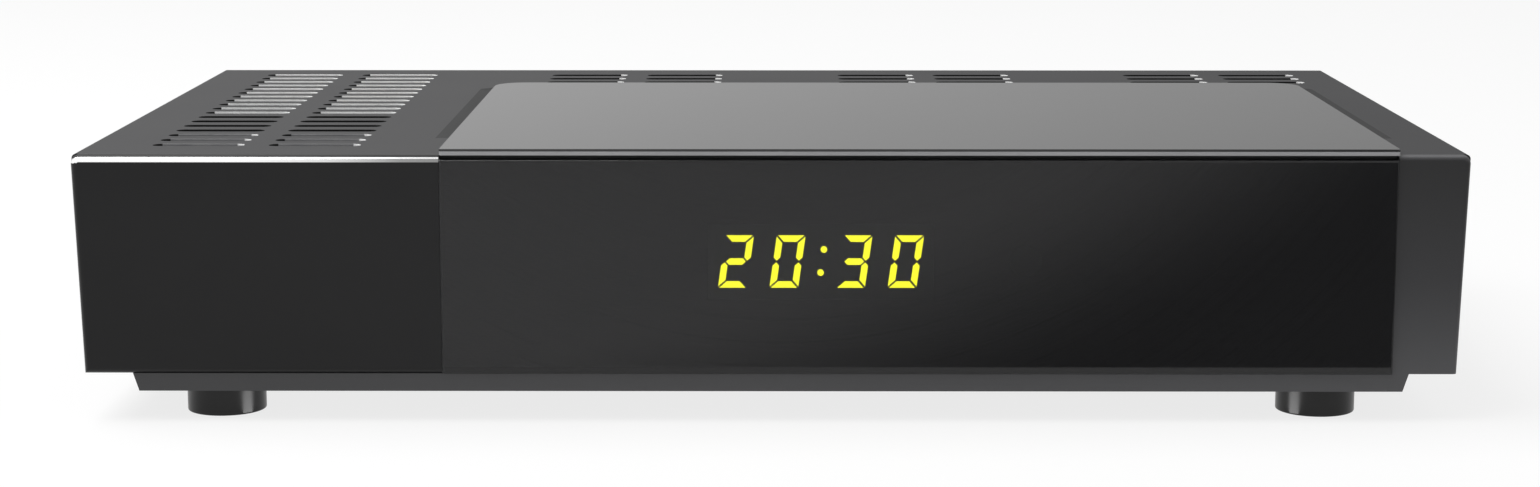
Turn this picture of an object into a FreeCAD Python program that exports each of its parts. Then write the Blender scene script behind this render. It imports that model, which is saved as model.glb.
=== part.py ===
import FreeCAD, Part
import math
import os
import re

import Sketcher
from FreeCAD import Placement, Rotation, Vector

# Satellite tv receiver. Millimetres, +Z up, front towards -Y.
# The origin is on the floor, under the middle of the receiver.

doc = FreeCAD.newDocument("receiver")
sheet = doc.addObject("Spreadsheet::Sheet", "sizes")

SIZES = [
    # case
    ("body_width", 261.2),          # across the widest part of the case
    ("body_depth", 152.0),          # front of the window to the rear flange
    ("body_height", 45.0),          # underside of the plinth to the cover's top
    ("foot_drop", 6.0),             # floor to the underside of the plinth
    ("plinth_height", 3.4),
    ("side_taper", 1.25),           # how far each side leans in at its lower edge
    ("socket_reach", 10.0),         # aerial sockets beyond the rear flange
    ("sheet_gauge", 0.8),
    ("bend_radius", 0.9),
    ("fit_gap", 0.1),
    ("wall", 2.0),
    # cover
    ("rear_flange", 9.0),
    ("trough_width", 3.6),          # shallow trough in the cover beside the plate
    ("trough_depth", 0.3),
    ("trough_start", 25.2),
    ("trough_bevel", 2.4),
    ("slot_length", 17.4),
    ("slot_width", 3.0),
    ("slot_pitch", 22.2),
    ("slot_start", 118.0),          # outer end of the first slot from the middle
    ("row_pitch", 7.35),
    ("rear_row_inset", 12.3),
    ("side_rows", 18),
    ("side_columns", 2),
    ("rear_rows", 3),
    ("rear_pairs", 3),
    # plate on the cover
    ("plate_left", 61.7),
    ("plate_right", 117.1),
    ("plate_length", 113.5),
    ("plate_thickness", 1.2),
    ("plate_corner", 6.5),
    ("plate_edge", 0.4),
    ("lip_round", 1.1),
    ("hook_width", 8.0),
    ("hook_stem", 1.6),
    ("hook_drop", 2.8),
    ("hook_nub", 0.7),
    ("hook_inset", 8.0),
    ("hook_rows", 3),
    ("hook_pitch", 38.0),
    ("hook_start", 20.0),
    # front
    ("front_step", 1.0),            # window and fascia stand proud of the bezel
    ("bezel_lip", 1.0),
    ("block_corner", 1.7),          # upper outer corners of the two blocks
    ("block_round", 0.85),
    ("bezel_depth", 12.0),
    ("plinth_inset", 10.3),
    ("plinth_slant", 1.1),
    ("fascia_round", 1.5),
    ("peg_width", 3.0),
    ("peg_length", 2.6),
    ("peg_inset", 9.0),
    ("window_thickness", 2.5),
    ("window_round", 0.9),
    ("window_edge", 0.3),
    ("display_x", 9.5),
    ("display_z", 30.5),
    ("display_width", 42.0),
    ("display_height", 14.0),
    ("display_depth", 6.7),
    ("display_board_height", 26.0),
    ("post_width", 5.0),
    ("display_recess", 0.6),        # face of the display behind the window's back
    ("digit_height", 10.0),
    ("digit_width", 5.2),
    ("digit_pitch", 9.7),
    ("digit_gap", 12.55),           # across the colon
    ("digit_slant", 8.0),
    ("bar_width", 1.15),
    ("bar_thickness", 0.2),
    ("bar_clearance", 0.12),
    ("colon_rise", 4.6),
    ("colon_radius", 0.65),
    ("eye_x", 48.0),
    ("eye_radius", 2.6),
    # tray
    ("floor_lift", 0.6),
    ("pan_slope", 2.0),
    ("bend_shift", 0.41),           # keeps the sloped bend at the sheet's gauge
    ("tray_flange", 14.0),
    ("clip_width", 12.0),
    ("clip_reach", 10.0),
    ("clip_height", 1.5),
    ("clip_nub", 1.6),
    ("clip_pitch", 80.0),
    ("floor_slots", 6),
    ("floor_slot_length", 26.0),
    # feet
    ("foot_radius", 7.5),
    ("foot_side_inset", 25.6),
    ("foot_front_inset", 13.2),
    ("foot_rear_inset", 18.0),
    ("foot_peg_width", 4.0),
    ("foot_peg_reach", 1.6),
    # screws
    ("screw_radius", 1.45),
    ("screw_hole", 1.55),
    ("head_radius", 2.8),
    ("head_height", 1.8),
    ("screw_length", 5.0),
    ("rear_screw_drop", 5.0),
    ("rear_screw_spread", 112.0),
    # boards
    ("board_lift", 6.0),
    ("support_width", 6.0),
    ("support_neck", 2.6),
    ("support_head", 3.6),
    ("board_gauge", 1.6),
    ("board_left", 54.0),
    ("board_right", 119.0),
    ("board_front", 56.0),
    ("board_hole_inset", 5.0),
    ("power_left", 119.0),
    ("power_right", 64.0),
    ("power_front", 52.0),
    ("power_gap", 25.3),            # power board to the rear panel, under the mains sockets
    # sockets
    ("tuner_x", 95.0),
    ("tuner_width", 44.0),
    ("tuner_depth", 42.0),
    ("tuner_height", 14.0),
    ("lid_lap", 0.4),
    ("lid_skirt", 3.0),
    ("aerial_pitch", 22.0),
    ("aerial_height", 7.5),
    ("aerial_radius", 4.76),
    ("aerial_shoulder", 5.0),       # under the nut, as far as the nut's face
    ("aerial_bore", 3.3),
    ("aerial_bore_depth", 8.0),
    ("nut_flats", 11.0),
    ("nut_height", 2.2),
    ("audio_x", 62.0),
    ("audio_height", 6.5),
    ("audio_radius", 4.15),
    ("audio_bore", 3.4),
    ("audio_reach", 8.5),
    ("audio_collar", 10.0),         # across the housing's square nose
    ("scart_x", 24.0),
    ("scart_width", 50.0),
    ("scart_height", 15.0),
    ("scart_depth", 12.0),
    ("scart_bevel", 4.0),
    ("scart_rim", 1.4),
    ("scart_moat", 1.8),
    ("scart_moat_depth", 9.0),
    ("scart_pitch", 3.81),
    ("hdmi_x", 20.0),
    ("hdmi_width", 15.0),
    ("hdmi_height", 5.8),
    ("hdmi_depth", 11.0),
    ("usb_x", 44.0),
    ("usb_width", 14.0),
    ("usb_height", 6.8),
    ("usb_depth", 14.0),
    ("shell_gauge", 0.4),
    ("shell_stand", 0.8),
    ("cutout_gap", 0.3),
    # mains
    ("mains_height", 26.0),         # middle of the switch and inlet from the floor
    ("switch_x", 84.0),
    ("switch_cheek", 1.2),          # wall beside the rocker, which carries its pins
    ("switch_end", 0.7),
    ("switch_flange", 1.5),
    ("switch_body_inset", 0.9),
    ("switch_depth", 14.0),
    ("rocker_width", 10.0),
    ("rocker_height", 16.0),
    ("rocker_tilt", 8.0),
    ("rocker_clearance", 0.4),
    ("pivot_radius", 1.0),
    ("pivot_fit", 0.05),
    ("pivot_length", 0.9),
    ("inlet_x", 109.0),
    ("inlet_width", 25.0),
    ("inlet_height", 16.0),
    ("inlet_flange", 1.6),
    ("inlet_body_inset", 1.2),
    ("inlet_depth", 16.0),
    ("inlet_bore", 4.7),
    ("inlet_waist", 5.6),
    ("inlet_recess", 13.0),
    ("pin_spacing", 8.6),
    ("pin_radius", 1.2),
    ("pin_length", 9.0),
    # wiring
    ("cable_width", 11.6),
    ("cable_gauge", 1.6),
    ("cable_bevel", 3.0),
    ("wire_radius", 0.9),
]

for row, (alias, value) in enumerate(SIZES, start=1):
    sheet.set(f"A{row}", alias)
    sheet.set(f"B{row}", str(value))
    sheet.setAlias(f"B{row}", alias)
doc.recompute()


def size(alias):
    """A driving dimension, read from the sheet."""
    return sheet.get(alias)


# Planes of the case, as expressions of the driving dimensions.
HALF = "(body_width / 2)"
HALF_LOW = "(body_width / 2 - side_taper)"
FRONT = "(0 - (body_depth + socket_reach) / 2)"
REAR = "((body_depth - socket_reach) / 2)"
TOP = "(foot_drop + body_height)"
SKIRT = "(foot_drop + plinth_height)"
FLOOR_LOW = "(foot_drop + floor_lift)"
FLOOR = "(foot_drop + floor_lift + sheet_gauge)"
BEZEL_FACE = f"({FRONT} + front_step)"
BEZEL_STEP = f"({BEZEL_FACE} + bezel_lip)"
WINDOW_BACK = f"({FRONT} + window_thickness)"
BEZEL_WALL_BACK = f"({WINDOW_BACK} + wall)"
BEZEL_REAR = f"({BEZEL_FACE} + bezel_depth)"
COVER_FRONT = f"({BEZEL_STEP} + fit_gap)"
TRAY_FRONT = f"({BEZEL_WALL_BACK} + fit_gap)"
PANEL_OUT = f"({REAR} - sheet_gauge - fit_gap)"
PANEL_IN = f"({PANEL_OUT} - sheet_gauge)"
INNER_LOW = f"({HALF_LOW} - sheet_gauge - fit_gap)"
INNER_HIGH = f"({HALF} - sheet_gauge - fit_gap)"
INNER_TOP = f"({TOP} - sheet_gauge - fit_gap)"
RIM_LOW = f"({INNER_LOW} - sheet_gauge - fit_gap)"
RIM_HIGH = f"({INNER_HIGH} - sheet_gauge - fit_gap)"
RIM_BOTTOM = f"({SKIRT} + sheet_gauge + fit_gap)"
PAN_HIGH = f"({HALF} - plinth_inset)"
PAN_LOW = f"({HALF} - plinth_inset - pan_slope)"
BOARD_LOW = f"({FLOOR} + board_lift)"
BOARD_TOP = f"({BOARD_LOW} + board_gauge)"
BOARD_REAR = f"({PANEL_IN} - 1)"
PLATE_REAR = f"({FRONT} + plate_length)"
DISPLAY_FACE = f"({WINDOW_BACK} + display_recess)"
DISPLAY_BOARD = f"({DISPLAY_FACE} + display_depth)"
DISPLAY_BOARD_BACK = f"({DISPLAY_BOARD} + board_gauge)"
SIDE_RUN = "(body_height - plinth_height)"


# ---------------------------------------------------------------- drawing aids
def bound(text):
    """Point each size name in an expression at its cell."""
    functions = ("cos", "sin", "tan", "sqrt")

    def cell(match):
        word = match.group()
        return word if word in functions else "sizes." + word

    return re.sub(r"[a-z][a-z_]+", cell, str(text))


def bind(item, prop, text):
    item.setExpression(prop, bound(text))


def minus(text):
    return f"(0 - {text})"


def rect(left, right, low, high):
    """The four corners of a rectangle."""
    return [(left, low), (right, low), (right, high), (left, high)]


def around(x, z, width, height):
    """A rectangle from its middle and its two sizes."""
    reach, rise = f"({width}) / 2", f"({height}) / 2"
    return rect(f"{x} - {reach}", f"{x} + {reach}", f"{z} - {rise}", f"{z} + {rise}")


def new_body(label):
    body = doc.addObject("PartDesign::Body", label)
    body.Label = label
    return body


def origin_item(body, role):
    return next(item for item in body.Origin.OriginFeatures if item.Role == role)


def new_sketch(body, label, axis, at):
    """A sketch square to an axis, at a place along it."""
    sketch = body.newObject("Sketcher::SketchObject", label)
    plane = {"x": "YZ_Plane", "y": "XZ_Plane", "z": "XY_Plane"}[axis]
    sketch.AttachmentSupport = [(origin_item(body, plane), "")]
    sketch.MapMode = "FlatFace"
    bind(sketch, "AttachmentOffset.Base.z", minus(at) if axis == "y" else at)
    return sketch


def pin_point(sketch, item, corner, u, v, guess):
    """Hold one point of a sketch at two expressions."""
    for kind, text, start in (("DistanceX", u, guess.x), ("DistanceY", v, guess.y)):
        if str(text) == "0":
            axis_line = -2 if kind == "DistanceX" else -1
            sketch.addConstraint(Sketcher.Constraint("PointOnObject", item, corner, axis_line))
            continue
        index = sketch.addConstraint(Sketcher.Constraint(kind, -1, 1, item, corner, start))
        bind(sketch, f"Constraints[{index}]", text)


def draw(body, label, axis, at, loops, circles=()):
    """A sketch of closed straight-sided loops and circles."""
    sketch = new_sketch(body, label, axis, at)
    for loop in loops:
        first = sketch.GeometryCount
        count = len(loop)
        turns = [2 * math.pi * (step + 0.5) / count for step in range(count)]
        guess = [Vector(10 * math.cos(turn), 10 * math.sin(turn), 0) for turn in turns]
        for step in range(count):
            sketch.addGeometry(Part.LineSegment(guess[step], guess[(step + 1) % count]), False)
        for step in range(count):
            sketch.addConstraint(
                Sketcher.Constraint("Coincident", first + step, 2, first + (step + 1) % count, 1))
        for step, (u, v) in enumerate(loop):
            pin_point(sketch, first + step, 1, u, v, guess[step])
    for u, v, radius in circles:
        item = sketch.addGeometry(Part.Circle(Vector(3, 3, 0), Vector(0, 0, 1), 1.0), False)
        pin_point(sketch, item, 3, u, v, Vector(3, 3, 0))
        index = sketch.addConstraint(Sketcher.Constraint("Radius", item, 1.0))
        bind(sketch, f"Constraints[{index}]", radius)
    return sketch


def add(body, label, axis, low, high, loops, circles=()):
    """Material between two planes square to an axis."""
    pad = body.newObject("PartDesign::Pad", label)
    pad.Profile = draw(body, label + "_sketch", axis, low, loops, circles)
    pad.Reversed = axis == "y"
    bind(pad, "Length", f"{high} - {low}")
    body.Tip = pad
    return pad


def take(body, label, axis, low, high, loops, circles=()):
    """A cut between two planes square to an axis."""
    pocket = body.newObject("PartDesign::Pocket", label)
    pocket.Profile = draw(body, label + "_sketch", axis, low, loops, circles)
    pocket.Reversed = axis != "y"
    bind(pocket, "Length", f"{high} - {low}")
    body.Tip = pocket
    return pocket


def repeat(body, feature, label, steps):
    """Repeat a feature along one or two axes: (axis, step, count) for each."""
    pattern = body.newObject("PartDesign::LinearPattern", label)
    pattern.Originals = [feature]
    for suffix, (axis, step, count) in zip(("", "2"), steps):
        setattr(pattern, "Direction" + suffix, (origin_item(body, axis.upper() + "_Axis"), [""]))
        setattr(pattern, "Mode" + suffix, "Spacing")
        setattr(pattern, "Spacings" + suffix, [-1.0])
        bind(pattern, "Offset" + suffix, step)
        bind(pattern, "Occurrences" + suffix, count)
    body.Tip = pattern
    return pattern


def turn(body, label, profile, axis="z"):
    """A solid turned about the body's own Z or Y axis from (radius, place) corners."""
    revolution = body.newObject("PartDesign::Revolution", label)
    sketch_axis, corners = "y", profile
    if axis == "y":
        sketch_axis = "z"
    sketch = draw(body, label + "_sketch", sketch_axis, "0", [corners])
    revolution.Profile = sketch
    revolution.ReferenceAxis = (sketch, ["V_Axis"])
    revolution.Angle = 360
    body.Tip = revolution
    return revolution


def dress(body, kind, label, wanted):
    """A fillet or chamfer on the edges of the body that a test picks by their boxes."""
    doc.recompute()
    base = body.Tip
    shape = base.Shape
    names = [f"Edge{index}" for index, edge in enumerate(shape.Edges, start=1)
             if wanted(edge.BoundBox, shape.BoundBox)]
    dressed = body.newObject(kind, label)
    dressed.Base = (base, names)
    body.Tip = dressed
    return dressed


def soften(body, label, radius, wanted):
    bind(dress(body, "PartDesign::Fillet", label, wanted), "Radius", radius)


def bevel(body, label, width, wanted):
    bind(dress(body, "PartDesign::Chamfer", label, wanted), "Size", width)


def same(first, second):
    return abs(first - second) < 0.01


def block(label, x, y, z):
    """A box from a (low, high) pair of expressions for each axis."""
    solid = doc.addObject("Part::Box", label)
    solid.Label = label
    for prop, axis, (low, high) in (("Length", "x", x), ("Width", "y", y), ("Height", "z", z)):
        bind(solid, prop, f"({high}) - ({low})")
        bind(solid, "Placement.Base." + axis, low)
    return solid


def rod(label, axis, places, radius, low, high):
    """A cylinder along an axis; places are its other two coordinates in X, Y, Z order."""
    solid = doc.addObject("Part::Cylinder", label)
    solid.Label = label
    turns = {"x": Rotation(Vector(0, 1, 0), 90), "y": Rotation(Vector(1, 0, 0), -90), "z": Rotation()}
    solid.Placement = Placement(Vector(), turns[axis])
    bind(solid, "Radius", radius)
    bind(solid, "Height", f"({high}) - ({low})")
    others = [name for name in "xyz" if name != axis]
    for name, text in [(axis, low), *zip(others, places)]:
        bind(solid, "Placement.Base." + name, text)
    return solid


def join(label, solids):
    fused = doc.addObject("Part::MultiFuse", label)
    fused.Label = label
    fused.Shapes = solids
    return fused


def group(label, solids):
    """Separate solids that share one node."""
    compound = doc.addObject("Part::Compound", label)
    compound.Label = label
    compound.Links = solids
    return compound


NODES = []


def node(item):
    """Put a finished sub-part on the list that is written out."""
    NODES.append(item)
    return item


# ---------------------------------------------------------------- cover
def slot_loop(x, y, length, width):
    """A slot with bevelled ends, long along X."""
    inner, outer = f"({length} / 2 - 0.42 * {width})", f"({length} / 2)"
    edge, tip = f"({width} / 2)", f"(0.2 * {width})"
    right = [(inner, minus(edge)), (outer, minus(tip)), (outer, tip), (inner, edge)]
    left = [(minus(u), minus(v)) for u, v in right]
    return [(f"{x} + {u}", f"{y} + {v}") for u, v in right + left]


def vents(body, label, middles, middle_y, steps):
    """A field of slots through the cover's top."""
    pocket = take(body, label + "_slot", "z", f"({INNER_TOP} - 1)", f"({TOP} + 1)",
                  [slot_loop(middle_x, middle_y, "slot_length", "slot_width") for middle_x in middles])
    return repeat(body, pocket, label, steps)


REAR_SCREWS = [minus("rear_screw_spread"), "0", "rear_screw_spread"]
REAR_SCREW_Z = f"({TOP} - rear_screw_drop)"
HOOK_XS = ["(0 - plate_left + hook_inset)", "(plate_right - hook_inset)"]
HOOK_Y = f"({FRONT} + hook_start)"


def make_cover():
    body = new_body("top_cover")
    gauge = "sheet_gauge"
    outer = [(minus(HALF_LOW), SKIRT), (HALF_LOW, SKIRT), (HALF, TOP), (minus(HALF), TOP)]
    add(body, "cover_section", "y", COVER_FRONT, REAR, [outer])
    soften(body, "cover_bends", "bend_radius",
           lambda e, s: same(e.ZMin, s.ZMax)
           and (same(e.XMin, s.XMax) or same(e.XMax, s.XMin) or same(e.YMin, s.YMax)))
    low, high = f"({HALF_LOW} - {gauge})", f"({HALF} - {gauge})"
    hollow = [(minus(low), SKIRT), (minus(low), f"{SKIRT} - 1"), (low, f"{SKIRT} - 1"), (low, SKIRT),
              (high, f"{TOP} - {gauge}"), (minus(high), f"{TOP} - {gauge}")]
    take(body, "cover_hollow", "y", f"({COVER_FRONT} - 1)", f"({REAR} - {gauge})", [hollow])
    # a narrow flange is left at the rear, under the roof
    flange_half = f"({high} - side_taper * rear_flange / {SIDE_RUN})"
    opening = [(minus(low), SKIRT), (minus(low), f"{SKIRT} - 1"), (low, f"{SKIRT} - 1"), (low, SKIRT),
               (flange_half, f"{TOP} - rear_flange"), (minus(flange_half), f"{TOP} - rear_flange")]
    take(body, "cover_opening", "y", f"({REAR} - 2 * {gauge})", f"({REAR} + 1)", [opening])
    # the sheet stops behind the window, under the plate's lip
    notch = rect(minus("plate_left"), "plate_right", f"{COVER_FRONT} - 1", f"{WINDOW_BACK} + 2 * fit_gap")
    take(body, "window_notch", "z", f"({INNER_TOP} - 1)", f"({TOP} + 1)", [notch])
    hook_room = ("hook_width + 4 * fit_gap", "hook_stem + hook_nub + 4 * fit_gap")
    hook_holes = [around(x, HOOK_Y, *hook_room) for x in HOOK_XS]
    holes = take(body, "hook_holes", "z", f"({INNER_TOP} - 1)", f"({TOP} + 1)", hook_holes)
    repeat(body, holes, "hook_hole_rows", [("y", "hook_pitch", "hook_rows")])
    # a shallow trough runs along each side of the plate and just under its edge
    near, far = f"({FRONT} + trough_start)", f"({PLATE_REAR} + fit_gap)"
    plate_sides = [("left", minus("plate_left"), "-", "+"), ("right", "plate_right", "+", "-")]
    for name, edge, out, back in plate_sides:
        outer = f"({edge} {out} trough_width)"
        inner = f"({edge} {back} plate_corner)"
        trough = [(inner, near), (outer, near), (outer, f"{far} - trough_bevel"),
                  (f"{outer} {back} trough_bevel", far), (inner, far)]
        take(body, f"{name}_trough", "z", f"({TOP} - trough_depth)", f"({TOP} + 1)", [trough])
    first_x = "(0 - slot_start + slot_length / 2)"
    first_y = f"({REAR} - rear_row_inset)"
    vents(body, "side_vents", [first_x], f"({first_y} - (side_rows - 1) * row_pitch)",
          [("x", "slot_pitch", "side_columns"), ("y", "row_pitch", "side_rows")])
    vents(body, "rear_vents", [f"({first_x} + {step} * slot_pitch)" for step in (3, 4)],
          f"({first_y} - (rear_rows - 1) * row_pitch)",
          [("x", "3 * slot_pitch", "rear_pairs"), ("y", "row_pitch", "rear_rows")])
    take(body, "rear_screw_holes", "y", f"({REAR} - 2)", f"({REAR} + 1)", [],
         [(x, REAR_SCREW_Z, "screw_hole") for x in REAR_SCREWS])
    return node(body)


def make_plate():
    body = new_body("top_plate")
    outline = rect(minus("plate_left"), "plate_right", FRONT, PLATE_REAR)
    add(body, "plate_slab", "z", TOP, f"({TOP} + plate_thickness)", [outline])
    soften(body, "plate_corners", "plate_corner",
           lambda e, s: same(e.YMin, s.YMax) and not same(e.ZMin, e.ZMax))
    soften(body, "plate_lip", "lip_round",
           lambda e, s: same(e.ZMin, s.ZMax) and same(e.YMax, s.YMin))
    bevel(body, "plate_edges", "plate_edge",
          lambda e, s: same(e.ZMin, s.ZMax) and e.YMax > s.YMin + 20)
    stems = [around(x, HOOK_Y, "hook_width", "hook_stem") for x in HOOK_XS]
    stem = add(body, "hook_stems", "z", f"({TOP} - hook_drop)", TOP, stems)
    nubs = [rect(f"{x} - hook_width / 2", f"{x} + hook_width / 2", f"{HOOK_Y} + hook_stem / 2",
                 f"{HOOK_Y} + hook_stem / 2 + hook_nub - fit_gap") for x in HOOK_XS]
    nub = add(body, "hook_nubs", "z", f"({TOP} - hook_drop)", f"({INNER_TOP} - fit_gap)", nubs)
    pattern = repeat(body, stem, "hook_row_pattern", [("y", "hook_pitch", "hook_rows")])
    pattern.Originals = [stem, nub]
    return node(body)


# ---------------------------------------------------------------- front
def make_bezel():
    body = new_body("front_bezel")
    plinth_low = f"({PAN_HIGH} - plinth_slant)"
    plinth = [(minus(plinth_low), "foot_drop"), (plinth_low, "foot_drop"),
              (PAN_HIGH, SKIRT), (minus(PAN_HIGH), SKIRT)]
    cut_x, cut_z = f"({INNER_HIGH} - bend_radius)", f"({INNER_TOP} - bend_radius)"
    wall_outline = [(minus(INNER_LOW), SKIRT), (INNER_LOW, SKIRT), (INNER_HIGH, cut_z), (cut_x, INNER_TOP),
                    (minus(cut_x), INNER_TOP), (minus(INNER_HIGH), cut_z)]
    add(body, "bezel_wall", "y", BEZEL_STEP, BEZEL_WALL_BACK, [wall_outline])
    # the right block is flush with the cover's outside
    right_block = [("plate_right", SKIRT), (HALF_LOW, SKIRT), (HALF, TOP), ("plate_right", TOP)]
    add(body, "bezel_block", "y", BEZEL_FACE, BEZEL_STEP, [right_block])
    soften(body, "block_corner", "block_corner",
           lambda e, s: same(e.XMin, s.XMax) and same(e.ZMin, s.ZMax))
    soften(body, "block_front_edge", "block_round",
           lambda e, s: same(e.YMax, s.YMin) and same(e.ZMin, s.ZMax))
    add(body, "bezel_plinth", "y", BEZEL_FACE, BEZEL_WALL_BACK, [plinth])
    cut_x = f"({RIM_HIGH} - bend_radius)"
    rim = [(minus(RIM_LOW), RIM_BOTTOM), (RIM_LOW, RIM_BOTTOM), (RIM_HIGH, cut_z), (cut_x, INNER_TOP),
           (minus(cut_x), INNER_TOP), (minus(RIM_HIGH), cut_z)]
    low_x, high_x = f"({RIM_LOW} - wall)", f"({RIM_HIGH} - wall)"
    low_z, high_z = f"({RIM_BOTTOM} + wall)", f"({INNER_TOP} - wall)"
    hollow = [(minus(low_x), low_z), (low_x, low_z), (high_x, high_z), (minus(high_x), high_z)]
    add(body, "bezel_rim", "y", BEZEL_WALL_BACK, BEZEL_REAR, [rim, hollow])
    seat = rect(minus("plate_left"), "plate_right", SKIRT, f"{TOP} + 1")
    take(body, "window_seat", "y", f"({BEZEL_FACE} - 1)", WINDOW_BACK, [seat])
    well = around("display_x", "display_z", "display_width + 4 * fit_gap", "display_height + 4 * fit_gap")
    take(body, "display_well", "y", f"({WINDOW_BACK} - 1)", f"({BEZEL_WALL_BACK} + 1)", [well],
         [("eye_x", "display_z", "eye_radius + 4 * fit_gap")])
    peg_room = "(peg_width + 2 * fit_gap)"
    take(body, "peg_holes", "y", f"({BEZEL_STEP} - 1)", f"({BEZEL_WALL_BACK} + 1)",
         [around(x, z, peg_room, peg_room) for x, z in PEGS])
    # posts stop the display's board, and hooks over its long edges hold it
    posts = [around(x, z, "post_width", "post_width") for x, z in POSTS]
    add(body, "board_posts", "y", BEZEL_WALL_BACK, DISPLAY_BOARD, posts)
    hook_end = f"({DISPLAY_BOARD_BACK} + hook_nub + fit_gap)"
    for name, side in (("low", "-"), ("high", "+")):
        edge = f"(display_z {side} display_board_height / 2)"
        stem = f"({edge} {side} (fit_gap + hook_stem / 2))"
        stems = [around(x, stem, "hook_width", "hook_stem") for x in BOARD_HOOKS]
        add(body, f"{name}_hook_stems", "y", BEZEL_WALL_BACK, hook_end, stems)
        barb = f"({edge} {side} (fit_gap - hook_nub / 2))"
        barbs = [around(x, barb, "hook_width", "hook_nub + 2 * fit_gap") for x in BOARD_HOOKS]
        add(body, f"{name}_hook_barbs", "y", f"({DISPLAY_BOARD_BACK} + fit_gap)", hook_end, barbs)
    clip_z = f"({FLOOR} + fit_gap + clip_height / 2)"
    clips = [around(x, clip_z, "clip_width", "clip_height") for x in CLIPS]
    add(body, "clip_tongues", "y", f"({BEZEL_WALL_BACK} - 1)", CLIP_END, clips)
    nubs = [around(x, f"({CLIP_END} - clip_nub / 2)", "clip_width", "clip_nub") for x in CLIPS]
    add(body, "clip_nubs", "z", FLOOR_LOW, f"({FLOOR} + fit_gap)", nubs)
    return node(body)


PEGS = [(f"(0 - {HALF} + peg_inset + side_taper)", f"({TOP} - peg_inset)"),
        (f"(0 - {HALF} + peg_inset + side_taper)", f"({SKIRT} + peg_inset)"),
        ("(0 - plate_left - peg_inset)", f"({TOP} - peg_inset)"),
        ("(0 - plate_left - peg_inset)", f"({SKIRT} + peg_inset)")]
BOARD_LEFT = "(display_x - display_width / 2 - 14)"
BOARD_RIGHT = "(eye_x + 18)"
POST_ZS = ["(display_z - display_board_height / 2 + 4)", "(display_z + display_board_height / 2 - 4)"]
POSTS = [(x, z) for x in (f"({BOARD_LEFT} + 4)", f"({BOARD_RIGHT} - 4)") for z in POST_ZS]
BOARD_HOOKS = [f"({BOARD_LEFT} + 14)", f"({BOARD_RIGHT} - 14)"]
CLIPS = [minus("clip_pitch"), "0", "clip_pitch"]
CLIP_END = f"({BEZEL_WALL_BACK} + clip_reach)"


def make_fascia():
    body = new_body("left_fascia")
    inner_edge = "(0 - plate_left - fit_gap)"
    outline = [(minus(HALF_LOW), SKIRT), (inner_edge, SKIRT), (inner_edge, TOP), (minus(HALF), TOP)]
    add(body, "fascia_slab", "y", FRONT, BEZEL_STEP, [outline])
    soften(body, "fascia_corner", "block_corner",
           lambda e, s: same(e.XMax, s.XMin) and same(e.ZMin, s.ZMax))
    soften(body, "fascia_front_edges", "fascia_round",
           lambda e, s: same(e.YMax, s.YMin) and not same(e.XMin, s.XMax))
    add(body, "fascia_pegs", "y", BEZEL_STEP, f"({BEZEL_STEP} + peg_length)",
        [around(x, z, "peg_width", "peg_width") for x, z in PEGS])
    return node(body)


def make_window():
    body = new_body("front_window")
    outline = rect("0 - plate_left + fit_gap", "plate_right - fit_gap",
                   f"{SKIRT} + fit_gap / 2", f"{TOP} - sheet_gauge")
    add(body, "window_slab", "y", FRONT, WINDOW_BACK, [outline])
    soften(body, "window_lip", "window_round",
           lambda e, s: same(e.YMax, s.YMin) and same(e.ZMin, s.ZMax))
    soften(body, "window_edges", "window_edge",
           lambda e, s: same(e.YMax, s.YMin) and same(e.ZMax, s.ZMin))
    return node(body)


# ---------------------------------------------------------------- display
def bar_loop(x, z, long_way, length, slant):
    """One bar of a digit: a hexagon with pointed ends, leaned with the digit."""
    half = size("bar_width") / 2
    reach = length / 2 - size("bar_clearance")
    points = [(-reach, 0), (-reach + half, half), (reach - half, half),
              (reach, 0), (reach - half, -half), (-reach + half, -half)]
    if long_way == "z":
        points = [(v, u) for u, v in points]
    return [(x + u + (z + v) * slant, z + v) for u, v in points]


BARS = {  # bar name: (across, up, direction), in half digits
    "a": (0, 1, "x"), "g": (0, 0, "x"), "d": (0, -1, "x"),
    "f": (-1, 0.5, "z"), "b": (1, 0.5, "z"), "e": (-1, -0.5, "z"), "c": (1, -0.5, "z")}
LIT_BARS = {"0": "abcdef", "2": "abged", "3": "abgcd"}
CLOCK = "2030"


def digit_centres():
    inner = size("digit_gap") / 2
    outer = inner + size("digit_pitch")
    return [-outer, -inner, inner, outer]


def make_bars(label, lit):
    """The display's bars that are lit, or those that are not, as thin solids."""
    slant = math.tan(math.radians(size("digit_slant")))
    span_x = size("digit_width") - size("bar_width")
    span_z = size("digit_height") - size("bar_width")
    thickness = size("bar_thickness")
    face_y = DISPLAY_BODY.Shape.BoundBox.YMin
    solids = []
    for centre, figure in zip(digit_centres(), CLOCK):
        for name, (across, up, way) in BARS.items():
            if (name in LIT_BARS[figure]) != lit:
                continue
            length = span_x if way == "x" else span_z / 2
            loop = bar_loop(across * span_x / 2, up * span_z / 2, way, length, slant)
            corners = [Vector(size("display_x") + centre + u, face_y - thickness, size("display_z") + v)
                       for u, v in loop]
            face = Part.Face(Part.makePolygon(corners + corners[:1]))
            solids.append(face.extrude(Vector(0, thickness, 0)))
    if lit:
        for side in (-1, 1):
            z = side * size("colon_rise") / 2
            middle = Vector(size("display_x") + z * slant, face_y - thickness, size("display_z") + z)
            turns = [math.pi / 4 * step for step in range(9)]
            radius = size("colon_radius")
            rim = [middle + Vector(math.cos(turn), 0, math.sin(turn)) * radius for turn in turns]
            solids.append(Part.Face(Part.makePolygon(rim)).extrude(Vector(0, thickness, 0)))
    bars = doc.addObject("Part::Feature", label)
    bars.Label = label
    bars.Shape = Part.makeCompound(solids)
    return node(bars)


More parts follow.
